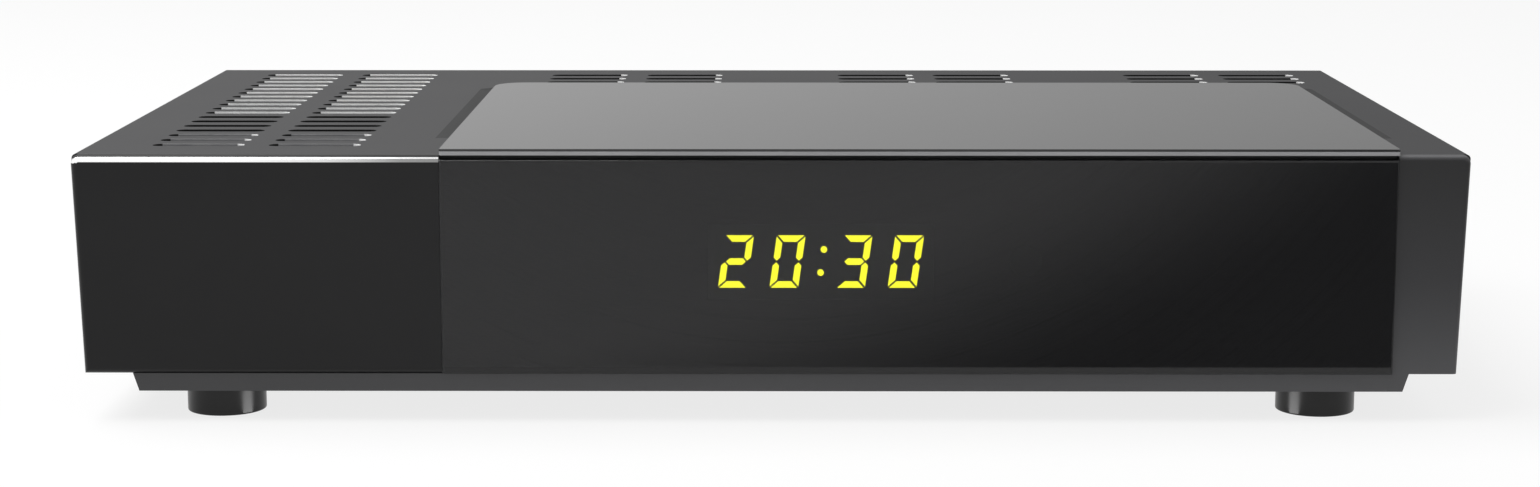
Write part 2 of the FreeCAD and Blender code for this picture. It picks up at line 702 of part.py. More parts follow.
def make_display_body():
    body = new_body("led_display")
    outline = around("display_x", "display_z", "display_width", "display_height")
    add(body, "display_block", "y", DISPLAY_FACE, DISPLAY_BOARD, [outline])
    return node(body)


def make_display_board():
    body = new_body("display_board")
    middle = f"(({BOARD_LEFT} + {BOARD_RIGHT}) / 2)"
    outline = around(middle, "display_z", f"{BOARD_RIGHT} - {BOARD_LEFT}", "display_board_height")
    add(body, "board_slab", "y", DISPLAY_BOARD, DISPLAY_BOARD_BACK, [outline])
    return node(body)


def make_eye():
    stand = block("eye_stand", ("eye_x - 3", "eye_x + 3"), (f"{DISPLAY_BOARD} - 3.2", DISPLAY_BOARD),
                  ("display_z - 3.5", "display_z + 3.5"))
    lens = rod("eye_lens", "y", ("eye_x", "display_z"), "eye_radius",
               f"{WINDOW_BACK} + 2 * fit_gap", f"{DISPLAY_BOARD} - 3.2")
    return node(join("infrared_receiver", [stand, lens]))


# ---------------------------------------------------------------- tray
def make_tray():
    body = new_body("chassis_base")
    gauge = "sheet_gauge"
    rise = f"{SKIRT} + tray_flange"
    lean = f"side_taper * tray_flange / {SIDE_RUN}"
    right = [(PAN_LOW, FLOOR_LOW), (PAN_HIGH, SKIRT), (INNER_LOW, SKIRT), (f"{INNER_LOW} + {lean}", rise),
             (f"{INNER_LOW} + {lean} - {gauge}", rise), (f"{INNER_LOW} - {gauge}", f"{SKIRT} + {gauge}"),
             (f"{PAN_HIGH} - bend_shift", f"{SKIRT} + {gauge}"), (f"{PAN_LOW} - bend_shift", FLOOR)]
    left = [(minus(f"({x})"), z) for x, z in reversed(right)]
    add(body, "tray_section", "y", TRAY_FRONT, PANEL_OUT, [[*right, *left]])
    corner = "bend_radius"
    side = [(PAN_LOW, FLOOR_LOW), (PAN_HIGH, SKIRT), (INNER_LOW, SKIRT),
            (INNER_HIGH, f"{INNER_TOP} - {corner}"), (f"{INNER_HIGH} - {corner}", INNER_TOP)]
    other = [(minus(f"({x})"), z) for x, z in reversed(side)]
    add(body, "rear_panel", "y", PANEL_IN, PANEL_OUT, [[*side, *other]])
    take(body, "panel_cutouts", "y", f"({PANEL_IN} - 1)", f"({PANEL_OUT} + 1)", PANEL_WINDOWS, PANEL_HOLES)
    foot_room = "(foot_peg_width + 2 * fit_gap)"
    take(body, "foot_holes", "z", f"({FLOOR_LOW} - 1)", f"({FLOOR} + 1)",
         [around(x, y, foot_room, foot_room) for x, y in FEET.values()])
    nub_room = "(clip_nub + 4 * fit_gap)"
    clip_y = f"({CLIP_END} - clip_nub / 2)"
    take(body, "clip_holes", "z", f"({FLOOR_LOW} - 1)", f"({FLOOR} + 1)",
         [around(x, clip_y, "clip_width + 4 * fit_gap", nub_room) for x in CLIPS])
    slot = take(body, "floor_vents_slot", "z", f"({FLOOR_LOW} - 1)", f"({FLOOR} + 1)",
                [around("10", f"({REAR} - 100)", "floor_slot_length", "slot_width")])
    repeat(body, slot, "floor_vents",
           [("y", "1.5 * row_pitch", "floor_slots"), ("x", "1.4 * floor_slot_length", "2")])
    return node(body)


FEET = {
    "foot_front_left": (f"(0 - {HALF} + foot_side_inset)", f"({FRONT} + foot_front_inset)"),
    "foot_front_right": (f"({HALF} - foot_side_inset)", f"({FRONT} + foot_front_inset)"),
    "foot_rear_left": (f"(0 - {HALF} + foot_side_inset)", f"({REAR} - foot_rear_inset)"),
    "foot_rear_right": (f"({HALF} - foot_side_inset)", f"({REAR} - foot_rear_inset)")}


def make_foot(label, x, y):
    """A round foot whose square peg is pressed into the floor."""
    body = new_body(label)
    add(body, label + "_pad", "z", "0", FLOOR_LOW, [], [(x, y, "foot_radius")])
    add(body, label + "_peg", "z", FLOOR_LOW, f"({FLOOR} + foot_peg_reach)",
        [around(x, y, "foot_peg_width", "foot_peg_width")])
    return node(body)


# ---------------------------------------------------------------- screws
def make_screws():
    """The three screws that hold the cover's flange to the rear panel."""
    screws = []
    for index, x in enumerate(REAR_SCREWS):
        place = (x, REAR_SCREW_Z)
        head = rod(f"screw_head_{index}", "y", place, "head_radius", REAR, f"{REAR} + head_height")
        shank = rod(f"screw_shank_{index}", "y", place, "screw_radius", f"{REAR} - screw_length", REAR)
        screws.append(join(f"screw_{index}", [head, shank]))
    node(group("cover_screws", screws))


# ---------------------------------------------------------------- boards
def corners_of(left, right, front, rear):
    """Hole places near the four corners of a board."""
    inset = "board_hole_inset"
    return [(f"({x})", f"({y})") for x in (f"{left} + {inset}", f"{right} - {inset}")
            for y in (f"{front} + {inset}", f"{rear} - {inset}")]


MAIN_EDGES = (minus("board_left"), "board_right", minus("board_front"), BOARD_REAR)
POWER_EDGES = (minus("power_left"), minus("power_right"), minus("power_front"), f"({PANEL_IN} - power_gap)")
MAIN_HOLES = corners_of(*MAIN_EDGES)[::2]
MAIN_HOLES += [("(0 - board_left + board_hole_inset)", f"({BOARD_REAR} - 28)"),
               ("(board_right - board_hole_inset)", "(0 - board_hole_inset)")]
POWER_HOLES = corners_of(*POWER_EDGES)


def make_board(label, edges, holes):
    body = new_body(label)
    room = "(support_neck + 2 * fit_gap)"
    loops = [rect(*edges), *[around(x, y, room, room) for x, y in holes]]
    add(body, label + "_slab", "z", BOARD_LOW, BOARD_TOP, loops)
    return node(body)


def make_supports():
    """Nylon posts that snap into the boards from below."""
    posts = []
    neck_top = f"({BOARD_TOP} + fit_gap)"
    sections = [("base", "support_width", FLOOR, BOARD_LOW), ("neck", "support_neck", BOARD_LOW, neck_top),
                ("head", "support_head", neck_top, f"({BOARD_TOP} + 2)")]
    for index, (x, y) in enumerate(MAIN_HOLES + POWER_HOLES):
        post = new_body(f"support_{index}")
        for name, width, low, high in sections:
            add(post, f"support_{index}_{name}", "z", low, high, [around(x, y, width, width)])
        posts.append(post)
    return node(group("board_supports", posts))


def finned(label, x, y, z, fins, fin_gauge):
    """A heat sink: a base with upright fins that run along Y."""
    body = new_body(label)
    (left, right), (front, rear), (low, high) = x, y, z
    add(body, label + "_base", "z", low, f"({low} + 2.4)", [rect(left, right, front, rear)])
    outline = rect(left, f"{left} + {fin_gauge}", front, rear)
    fin = add(body, label + "_fin", "z", f"({low} + 2.4)", high, [outline])
    repeat(body, fin, label + "_fins", [("x", f"({right} - {left} - {fin_gauge}) / {fins - 1}", str(fins))])
    return node(body)


def on_board(label, middle_x, middle_y, width, depth, height, low=BOARD_TOP):
    """A plain block that stands on a board."""
    return block(label, (f"{middle_x} - {width} / 2", f"{middle_x} + {width} / 2"),
                 (f"{middle_y} - {depth} / 2", f"{middle_y} + {depth} / 2"), (low, f"{low} + {height}"))


def can(label, x, y, radius, height):
    """A can capacitor, standing on a board."""
    return rod(label, "z", (x, y), radius, BOARD_TOP, f"{BOARD_TOP} + {height}")


def make_main_parts():
    node(on_board("main_processor", "30", "(0 - 8)", "27", "27", "2.2"))
    finned("processor_heatsink", ("13", "47"), ("(0 - 25)", "9"),
           (f"({BOARD_TOP} + 2.2)", f"({BOARD_TOP} + 14)"), 9, "1.2")
    chips = [on_board("memory_chip_0", "64", "(0 - 18)", "10", "14", "1.2"),
             on_board("memory_chip_1", "64", "2", "10", "14", "1.2"),
             on_board("flash_chip", "4", "(0 - 34)", "8", "6", "1.6"),
             on_board("regulator_chip", "(0 - 30)", "(0 - 26)", "7", "7", "1.4")]
    node(group("memory_chips", chips))
    caps = [can("board_can_0", "(0 - 40)", "(0 - 10)", "4", "11"),
            can("board_can_1", "(0 - 40)", "0", "4", "11")]
    node(group("board_capacitors", caps))


def make_power_parts():
    body = new_body("power_transformer")
    x, seat = "(0 - 94)", f"({BOARD_TOP} + 4)"
    add(body, "bobbin", "z", BOARD_TOP, seat, [around(x, "4", "26", "24")])
    add(body, "core", "z", seat, f"({BOARD_TOP} + 22)", [around(x, "4", "30", "12")])
    add(body, "winding", "z", seat, f"({BOARD_TOP} + 17)", [around(x, "4", "18", "21")])
    node(body)
    node(can("bulk_capacitor", "(0 - 110)", "24", "8", "27"))
    caps = [can("output_can_0", "(0 - 79)", "(0 - 20)", "5", "20"),
            can("output_can_1", "(0 - 90)", "(0 - 20)", "5", "20")]
    node(group("output_capacitors", caps))
    finned("power_heatsink", ("(0 - 118)", "(0 - 102)"), ("(0 - 42)", "(0 - 10)"),
           (BOARD_TOP, f"({BOARD_TOP} + 27)"), 4, "1.6")
    tab = block("transistor_tab", ("(0 - 102)", "(0 - 100.7)"), ("(0 - 27)", "(0 - 17)"),
                (f"{BOARD_TOP} + 6", f"{BOARD_TOP} + 21"))
    case = block("transistor_case", ("(0 - 100.7)", "(0 - 97.5)"), ("(0 - 27)", "(0 - 17)"),
                 (f"{BOARD_TOP} + 6", f"{BOARD_TOP} + 15"))
    legs = []
    for index in range(3):
        middle = 22 + 2.54 * (index - 1)
        legs.append(block(f"transistor_leg_{index}", ("(0 - 99.6)", "(0 - 99)"),
                          (f"0 - {middle + 0.4}", f"0 - {middle - 0.4}"), (BOARD_TOP, f"{BOARD_TOP} + 6")))
    node(join("power_transistor", [tab, case, *legs]))
    body = new_body("line_filter")
    add(body, "filter_frame", "z", BOARD_TOP, f"({BOARD_TOP} + 17)", [around("(0 - 80)", "26", "18", "14")])
    take(body, "filter_window", "y", "18", "34", [around("(0 - 80)", f"({BOARD_TOP} + 9)", "8", "7")])
    node(body)
    node(on_board("fuse_link", "(0 - 100)", "38", "8.4", "4", "8"))


# ---------------------------------------------------------------- rear sockets
AERIALS = {"lnb_socket": "(tuner_x + aerial_pitch / 2)", "loop_socket": "(tuner_x - aerial_pitch / 2)"}
AERIAL_Z = f"({BOARD_TOP} + aerial_height)"
AUDIO_Z = f"({BOARD_TOP} + audio_height)"
SCART_Z = f"({BOARD_TOP} + scart_height / 2)"
HDMI_Z = f"({BOARD_TOP} + hdmi_height / 2)"
USB_Z = f"({BOARD_TOP} + usb_height / 2)"
MAINS_Z = "mains_height"
SWITCH_X = "(0 - switch_x)"
INLET_X = "(0 - inlet_x)"
HDMI_X = "(0 - hdmi_x)"
USB_X = "(0 - usb_x)"
CAN_REAR = f"({PANEL_IN} - fit_gap)"
AERIAL_END = f"({REAR} + socket_reach)"
NUT_FACE = f"({PANEL_OUT} + nut_height)"

# the switch housing is built outward from the rocker that it holds
PIVOT_Y = f"({PANEL_OUT} + switch_flange - 1.2)"
SWITCH_FACE = f"({PANEL_OUT} + switch_flange)"
CAVITY_HALF = "(rocker_height / 2 + 0.9)"
ROCKER_ROOM = "(rocker_width + 2 * rocker_clearance)"
SWITCH_WIDTH = f"({ROCKER_ROOM} + 2 * switch_cheek)"
SWITCH_HEIGHT = f"(2 * {CAVITY_HALF} + 2 * switch_end)"

PANEL_WINDOWS = [
    around("audio_x", AUDIO_Z, "audio_collar + 2 * fit_gap", "audio_collar + 2 * fit_gap"),
    around("scart_x", SCART_Z, "scart_width + cutout_gap", "scart_height + cutout_gap"),
    around(HDMI_X, HDMI_Z, "hdmi_width + 2 * cutout_gap", "hdmi_height + 2 * cutout_gap"),
    around(USB_X, USB_Z, "usb_width + 2 * cutout_gap", "usb_height + 2 * cutout_gap"),
    around(SWITCH_X, MAINS_Z, f"{SWITCH_WIDTH} + cutout_gap", f"{SWITCH_HEIGHT} + cutout_gap"),
    around(INLET_X, MAINS_Z, "inlet_width - 2 * inlet_body_inset + cutout_gap",
           "inlet_height - 2 * inlet_body_inset + cutout_gap")]
PANEL_HOLES = [(x, AERIAL_Z, "aerial_shoulder + fit_gap") for x in AERIALS.values()]
PANEL_HOLES += [(x, REAR_SCREW_Z, "screw_hole") for x in REAR_SCREWS]


def turned_at(label, x, z, profile):
    """A piece turned about a line along Y at (x, z)."""
    body = new_body(label)
    bind(body, "Placement.Base.x", x)
    bind(body, "Placement.Base.z", z)
    turn(body, label + "_turned", profile, axis="y")
    return body


def make_tuner():
    body = new_body("tuner_can")
    front = f"({CAN_REAR} - tuner_depth)"
    left, right = "(tuner_x - tuner_width / 2)", "(tuner_x + tuner_width / 2)"
    top = f"({BOARD_TOP} + tuner_height)"
    add(body, "tuner_frame", "z", BOARD_TOP, top, [rect(left, right, front, CAN_REAR)])
    lap = "lid_lap"
    add(body, "tuner_lid", "z", f"({top} - lid_skirt)", f"({top} + {lap})",
        [rect(f"{left} - {lap}", f"{right} + {lap}", f"{front} - {lap}", CAN_REAR)])
    node(body)
    insulators = []
    nuts = []
    for label, x in AERIALS.items():
        bore_end = f"({AERIAL_END} - aerial_bore_depth)"
        node(turned_at(label, x, AERIAL_Z, [
            ("0", CAN_REAR), ("aerial_shoulder", CAN_REAR), ("aerial_shoulder", NUT_FACE),
            ("aerial_radius", NUT_FACE), ("aerial_radius", AERIAL_END),
            ("aerial_bore", AERIAL_END), ("aerial_bore", bore_end), ("0", bore_end)]))
        insulators.append(rod(label + "_insulator", "y", (x, AERIAL_Z), "aerial_bore - fit_gap / 2",
                              bore_end, f"{AERIAL_END} - 0.5"))
        nut = new_body(label + "_nut")
        reach = "(nut_flats / 2 / cos(30))"
        near, far = f"{x} - {reach} / 2", f"{x} + {reach} / 2"
        low, high = f"{AERIAL_Z} - nut_flats / 2", f"{AERIAL_Z} + nut_flats / 2"
        hexagon = [(f"{x} + {reach}", AERIAL_Z), (far, high), (near, high),
                   (f"{x} - {reach}", AERIAL_Z), (near, low), (far, low)]
        add(nut, label + "_hex", "y", PANEL_OUT, NUT_FACE, [hexagon],
            [(x, AERIAL_Z, "aerial_shoulder + fit_gap / 2")])
        nuts.append(nut)
    node(group("socket_insulators", insulators))
    node(group("socket_nuts", nuts))


def make_audio():
    end = f"({PANEL_OUT} + audio_reach)"
    ring = [("audio_bore", PANEL_OUT), ("audio_radius", PANEL_OUT),
            ("audio_radius", end), ("audio_bore", end)]
    node(turned_at("audio_socket", "audio_x", AUDIO_Z, ring))
    body = new_body("audio_housing")
    add(body, "housing_block", "y", f"({PANEL_IN} - 9)", f"({PANEL_IN} - fit_gap)",
        [around("audio_x", AUDIO_Z, "11", "2 * audio_height")])
    add(body, "housing_nose", "y", f"({PANEL_IN} - fit_gap)", PANEL_OUT,
        [around("audio_x", AUDIO_Z, "audio_collar", "audio_collar")])
    add(body, "housing_core", "y", PANEL_OUT, f"({end} - 0.6)", [],
        [("audio_x", AUDIO_Z, "audio_bore - fit_gap / 2")])
    node(body)


def make_shell_socket(name, x, width, height, depth, tongue_width, tongue_gauge, bevel):
    """A sheet-metal shell round a plastic tongue."""
    front = f"({PANEL_OUT} + shell_stand - {depth})"
    face = f"({PANEL_OUT} + shell_stand)"

    def ring(inset):
        left = f"({x} - {width} / 2 + {inset})"
        right = f"({x} + {width} / 2 - {inset})"
        low = f"({BOARD_TOP} + {inset})"
        high = f"({BOARD_TOP} + {height} - {inset})"
        return [(f"{left} + {bevel}", low), (f"{right} - {bevel}", low), (right, f"{low} + {bevel}"),
                (right, high), (left, high), (left, f"{low} + {bevel}")]

    shell = new_body(name + "_shell")
    add(shell, name + "_ring", "y", front, face, [ring("0"), ring("shell_gauge")])
    node(shell)
    tongue = new_body(name + "_tongue")
    add(tongue, name + "_back", "y", front, f"({front} + 2.5)", [ring("(shell_gauge + fit_gap / 2)")])
    add(tongue, name + "_blade", "y", f"({front} + 2.5)", f"({face} - 1)",
        [around(x, f"({BOARD_TOP} + {height} * 0.56)", tongue_width, tongue_gauge)])
    node(tongue)


def make_scart():
    body = new_body("scart_socket")
    face = f"({PANEL_OUT} + shell_stand)"
    back = f"({face} - scart_depth)"

    def ring(inset):
        left = f"(scart_x - scart_width / 2 + {inset})"
        right = f"(scart_x + scart_width / 2 - {inset})"
        low = f"({BOARD_TOP} + {inset})"
        high = f"({BOARD_TOP} + scart_height - {inset})"
        return [(left, low), (f"{right} - scart_bevel", low), (right, f"{low} + scart_bevel"),
                (right, high), (left, high)]

    add(body, "scart_block", "y", back, face, [ring("0")])
    take(body, "scart_moat", "y", f"({face} - scart_moat_depth)", f"({face} + 1)",
         [ring("scart_rim"), ring("(scart_rim + scart_moat)")])
    take_low = take(body, "scart_contacts", "y", f"({face} - 5)", f"({face} + 1)",
                    [around("(scart_x - 4.5 * scart_pitch)", f"({SCART_Z} - 2)", "1", "2.4")])
    repeat(body, take_low, "scart_low_row", [("x", "scart_pitch", "10")])
    take_high = take(body, "scart_contacts_high", "y", f"({face} - 5)", f"({face} + 1)",
                     [around("(scart_x - 5 * scart_pitch)", f"({SCART_Z} + 2)", "1", "2.4")])
    repeat(body, take_high, "scart_high_row", [("x", "scart_pitch", "10")])
    node(body)


# ---------------------------------------------------------------- mains
def make_switch():
    body = new_body("switch_housing")
    add(body, "switch_case", "y", f"({PANEL_OUT} - switch_depth)", PANEL_OUT,
        [around(SWITCH_X, MAINS_Z, SWITCH_WIDTH, SWITCH_HEIGHT)])
    rim = "2 * switch_body_inset"
    add(body, "switch_face", "y", PANEL_OUT, SWITCH_FACE,
        [around(SWITCH_X, MAINS_Z, f"{SWITCH_WIDTH} + {rim}", f"{SWITCH_HEIGHT} + {rim}")])
    take(body, "switch_cavity", "y", f"({PIVOT_Y} - 5)", f"({SWITCH_FACE} + 1)",
         [around(SWITCH_X, MAINS_Z, ROCKER_ROOM, f"2 * {CAVITY_HALF}")])
    hole_reach = f"({ROCKER_ROOM} / 2 + pivot_length)"
    take(body, "pivot_bores", "x", f"({SWITCH_X} - {hole_reach})", f"({SWITCH_X} + {hole_reach})", [],
         [(PIVOT_Y, MAINS_Z, "pivot_radius + pivot_fit")])
    node(body)
    # the rocker is drawn level about its own pivot, then stored tilted to off
    rocker = new_body("switch_rocker")
    tip = "(rocker_height / 2)"
    side = [("4.2", tip), ("2.6", "0"), ("4.2", minus(tip)), ("0.4", minus(tip)),
            ("0 - 2.8", "0 - 2.4"), ("0 - 2.8", "2.4"), ("0.4", tip)]
    add(rocker, "rocker_paddle", "x", "(0 - rocker_width / 2)", "(rocker_width / 2)", [side])
    pin_end = "(rocker_width / 2 + rocker_clearance + pivot_length - fit_gap)"
    add(rocker, "rocker_pins", "x", minus(pin_end), pin_end, [], [("0", "0", "pivot_radius")])
    rocker.Placement = Placement(Vector(), Rotation(Vector(1, 0, 0), -size("rocker_tilt")))
    bind(rocker, "Placement.Base.x", SWITCH_X)
    bind(rocker, "Placement.Base.y", PIVOT_Y)
    bind(rocker, "Placement.Base.z", MAINS_Z)
    node(rocker)
    back = f"({PANEL_OUT} - switch_depth)"
    blades = []
    for index, z in enumerate((-5, 5)):
        blades.append(block(f"switch_blade_{index}", (f"{SWITCH_X} - 2.4", f"{SWITCH_X} + 2.4"),
                            (f"{back} - 7", back), (f"{MAINS_Z} + {z} - 0.4", f"{MAINS_Z} + {z} + 0.4")))
    node(group("switch_terminals", blades))


def make_inlet():
    body = new_body("mains_inlet")
    inset = "inlet_body_inset"
    face = f"({PANEL_OUT} + inlet_flange)"
    floor = f"({face} - inlet_recess)"
    add(body, "inlet_case", "y", f"({PANEL_OUT} - inlet_depth)", PANEL_OUT,
        [around(INLET_X, MAINS_Z, f"inlet_width - 2 * {inset}", f"inlet_height - 2 * {inset}")])
    add(body, "inlet_face", "y", PANEL_OUT, face, [around(INLET_X, MAINS_Z, "inlet_width", "inlet_height")])
    for name, shift in (("left", "- pin_spacing / 2"), ("right", "+ pin_spacing / 2")):
        take(body, f"inlet_{name}_bore", "y", floor, f"({face} + 1)", [],
             [(f"{INLET_X} {shift}", MAINS_Z, "inlet_bore")])
    take(body, "inlet_waist_cut", "y", floor, f"({face} + 1)",
         [around(INLET_X, MAINS_Z, "pin_spacing", "inlet_waist")])
    node(body)
    pins = [rod(f"inlet_pin_{index}", "y", (f"{INLET_X} + {side} * pin_spacing / 2", MAINS_Z), "pin_radius",
            floor, f"{floor} + pin_length") for index, side in enumerate((-1, 1))]
    node(group("inlet_pins", pins))


# ---------------------------------------------------------------- wiring
def wire_along(points, radius):
    """An eight-sided wire along straight runs."""
    path = Part.makePolygon(points)
    start, way = points[0], (points[1] - points[0]).normalize()
    across = way.cross(Vector(0, 0, 1) if abs(way.z) < 0.5 else Vector(1, 0, 0)).normalize()
    beyond = way.cross(across)
    turns = [math.pi / 4 * (step + 0.5) for step in range(8)]
    corners = [start + (across * math.cos(turn) + beyond * math.sin(turn)) * radius for turn in turns]
    section = Part.makePolygon(corners + corners[:1])
    return path.makePipeShell([section], True, False, 1)


def strap(label, axis, low, high, outline):
    """A flat cable: one folded outline with a width."""
    body = new_body(label)
    add(body, label + "_fold", axis, low, high, [outline])
    return node(body)


def make_wiring():
    left, right = f"({POWER_EDGES[1]} - 5)", f"({MAIN_EDGES[0]} + 5)"
    plugs = [on_board("power_plug", right, "0 - 30", "5", "15", "7"),
             on_board("power_plug_far", left, "0 - 30", "5", "15", "7")]
    node(group("power_plugs", plugs))
    low, high, under = f"({BOARD_TOP} + 7)", f"({BOARD_TOP} + 15)", f"({BOARD_TOP} + 15 - cable_gauge)"
    half, bevel = "cable_gauge / 2", "cable_bevel"
    inside = [(f"{left} + {half}", low), (f"{left} + {half}", f"{under} - {bevel}"),
              (f"{left} + {half} + {bevel}", under), (f"{right} - {half} - {bevel}", under),
              (f"{right} - {half}", f"{under} - {bevel}"), (f"{right} - {half}", low)]
    outside = [(f"{right} + {half}", low), (f"{right} + {half}", f"{high} - {bevel} - {half}"),
               (f"{right} - {bevel} + {half}", high), (f"{left} + {bevel} - {half}", high),
               (f"{left} - {half}", f"{high} - {bevel} - {half}"), (f"{left} - {half}", low)]
    strap("power_cable", "y", "(0 - 30 - cable_width / 2)", "(0 - 30 + cable_width / 2)", inside + outside)
    # mains: inlet to board, inlet to switch, switch to board
    board_top = MAIN_BOARD.Shape.BoundBox.ZMax
    inlet_back = doc.getObject("mains_inlet").Shape.BoundBox.YMin
    blade_end = doc.getObject("switch_terminals").Shape.BoundBox.YMin
    level = size("mains_height")
    half = size("pin_spacing") / 2
    left, right, across = -size("inlet_x") - half, -size("inlet_x") + half, -size("switch_x")
    near, middle, far = blade_end - 3, blade_end - 6, blade_end - 8
    runs = [[(left, inlet_back, level), (left, middle, level), (left, middle, board_top)],
            [(right, inlet_back, level), (right, near, level), (right, near, level + 5),
             (across, near, level + 5), (across, blade_end, level + 5)],
            [(across, blade_end, level - 5), (across, far, level - 5), (across, far, board_top)]]
    wires = doc.addObject("Part::Feature", "mains_wires")
    wires.Label = "mains_wires"
    solids = [wire_along([Vector(*point) for point in run], size("wire_radius")) for run in runs]
    wires.Shape = Part.makeCompound(solids)
    node(wires)
    near = block("ribbon_connector", ("0 - 12", "12"), ("0 - board_front + 1", "0 - board_front + 5"),
                 (BOARD_TOP, f"{BOARD_TOP} + 4"))
    far = block("ribbon_connector_far", ("0 - 12", "12"), (DISPLAY_BOARD_BACK, f"{DISPLAY_BOARD_BACK} + 4"),
                ("display_z - 11", "display_z - 7"))
    node(group("ribbon_connectors", [near, far]))
    start = DISPLAY_BOARD_BACK
    strap("display_ribbon", "x", "(0 - 10)", "10", [
        (f"{start} + 1.9", "display_z - 7"), (f"{start} + 2.2", "display_z - 7"),
        (f"{start} + 2.2", "display_z - 2.4"), (f"{start} + 3.4", "display_z - 1.2"),
        ("0 - board_front + 1.6", "display_z - 1.2"), ("0 - board_front + 2.8", "display_z - 2.4"),
        ("0 - board_front + 2.8", f"{BOARD_TOP} + 4"), ("0 - board_front + 3.1", f"{BOARD_TOP} + 4"),
        ("0 - board_front + 3.1", "display_z - 2.3"), ("0 - board_front + 1.7", "display_z - 0.9"),
        (f"{start} + 3.3", "display_z - 0.9"), (f"{start} + 1.9", "display_z - 2.3")])


# ---------------------------------------------------------------- build
make_cover()
make_plate()
make_bezel()
make_fascia()
make_window()
DISPLAY_BODY = make_display_body()
DISPLAY_BOARD_SOLID = make_display_board()
make_eye()
make_tray()
for foot_label, (foot_x, foot_y) in FEET.items():
    make_foot(foot_label, foot_x, foot_y)
MAIN_BOARD = make_board("main_board", MAIN_EDGES, MAIN_HOLES)
POWER_BOARD = make_board("power_board", POWER_EDGES, POWER_HOLES)
make_supports()
make_screws()
make_main_parts()
make_power_parts()
make_tuner()
make_audio()
make_shell_socket("hdmi", HDMI_X, "hdmi_width", "hdmi_height", "hdmi_depth", "11.4", "1.4", "1.4")
make_shell_socket("usb", USB_X, "usb_width", "usb_height", "usb_depth", "10.6", "1.9", "0.01")
make_scart()
make_switch()
make_inlet()
doc.recompute()
make_bars("lit_segments", True)
make_bars("unlit_segments", False)
make_wiring()
doc.recompute()

for item in doc.Objects:
    faults = [state for state in item.State if state in ("Invalid", "Error")]
    if faults:
        raise RuntimeError(f"{item.Label}: {faults}")
    if item.TypeId in ("PartDesign::Pocket", "PartDesign::Groove"):
        if item.BaseFeature.Shape.Volume - item.Shape.Volume < 1e-3:
            raise RuntimeError(f"{item.Label} cuts nothing")

os.makedirs("parts", exist_ok=True)
for item in NODES:
    shape = item.Shape
    if shape.isNull() or not shape.isValid() or not shape.Solids:
        raise RuntimeError(f"{item.Label} has no sound shape")
    shape.exportStep(os.path.join("parts", item.Label + ".step"))
print(len(NODES), "nodes written")
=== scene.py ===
# %% [markdown]
# # A satellite receiver, from its frame to its finish
# The receiver's solid pieces come ready made, at their real size, as the
# frame. This lesson gives every piece its finish, and builds finer shapes for
# the pieces that need them: the folded cover, the front, the clock's bars,
# screws, threads, contacts and wires. The first cell loads the frame. Nothing
# that follows may make the receiver bigger. Lengths below are in millimetres,
# and MM turns them into Blender's metres.

# %% Load the frame
import math
import random

import bmesh
import bpy
from mathutils import Matrix, Vector


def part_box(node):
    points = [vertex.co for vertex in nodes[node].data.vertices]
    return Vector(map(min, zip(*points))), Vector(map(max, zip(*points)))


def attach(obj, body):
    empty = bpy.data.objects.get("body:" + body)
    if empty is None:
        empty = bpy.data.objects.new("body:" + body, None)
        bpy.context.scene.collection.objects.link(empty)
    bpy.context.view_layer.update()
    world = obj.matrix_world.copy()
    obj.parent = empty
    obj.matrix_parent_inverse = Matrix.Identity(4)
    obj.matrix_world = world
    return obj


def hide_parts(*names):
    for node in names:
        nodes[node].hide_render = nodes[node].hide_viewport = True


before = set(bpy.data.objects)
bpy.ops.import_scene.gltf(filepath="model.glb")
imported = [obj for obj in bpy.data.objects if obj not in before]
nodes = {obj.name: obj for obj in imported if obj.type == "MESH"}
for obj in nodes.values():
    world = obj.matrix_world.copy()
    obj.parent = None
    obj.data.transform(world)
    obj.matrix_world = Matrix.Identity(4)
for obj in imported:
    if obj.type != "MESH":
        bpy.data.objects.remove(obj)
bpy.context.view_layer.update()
MM = 0.001
print(len(nodes), "pieces in the frame")

# %% [markdown]
# ## Colour and nodes
# A paint chip is matched on a screen, in sRGB, but the renderer works in
# linear light. One function turns the hex value of a chip into linear
# numbers. A second one adds any shader node with its settings and links, so
# that each material below reads as a short list.


# %% Two helpers for every material
def colour(chip):
    """An sRGB hex chip such as "2a2b2d" as linear red, green and blue, with full alpha."""
    values = [int(chip[i:i + 2], 16) / 255 for i in (0, 2, 4)]
    linear = [v / 12.92 if v <= 0.04045 else ((v + 0.055) / 1.055) ** 2.4 for v in values]
    return (*linear, 1.0)


def add_node(tree, kind, inputs=None, **settings):
    """Add a shader node; an input takes a value, a socket, or a node's first output."""
    item = tree.nodes.new("ShaderNode" + kind)
    for name, value in settings.items():
        setattr(item, name, value)
    for name, value in (inputs or {}).items():
        if isinstance(value, bpy.types.Node):
            value = value.outputs[0]
        if isinstance(value, bpy.types.NodeSocket):
            tree.links.new(value, item.inputs[name])
        else:
            item.inputs[name].default_value = value
    return item


print("chip 808080 is", round(colour("808080")[0], 3), "in linear light")

# %% [markdown]
# ## A start for every finish
# Most pieces here are opaque and differ in four ways: their base colour, how
# rough they are, what fine relief they have, and how the colour varies. The
# start of a material holds the shader and the coordinates in millimetres, so
# that a pattern's size can be stated as on a drawing.


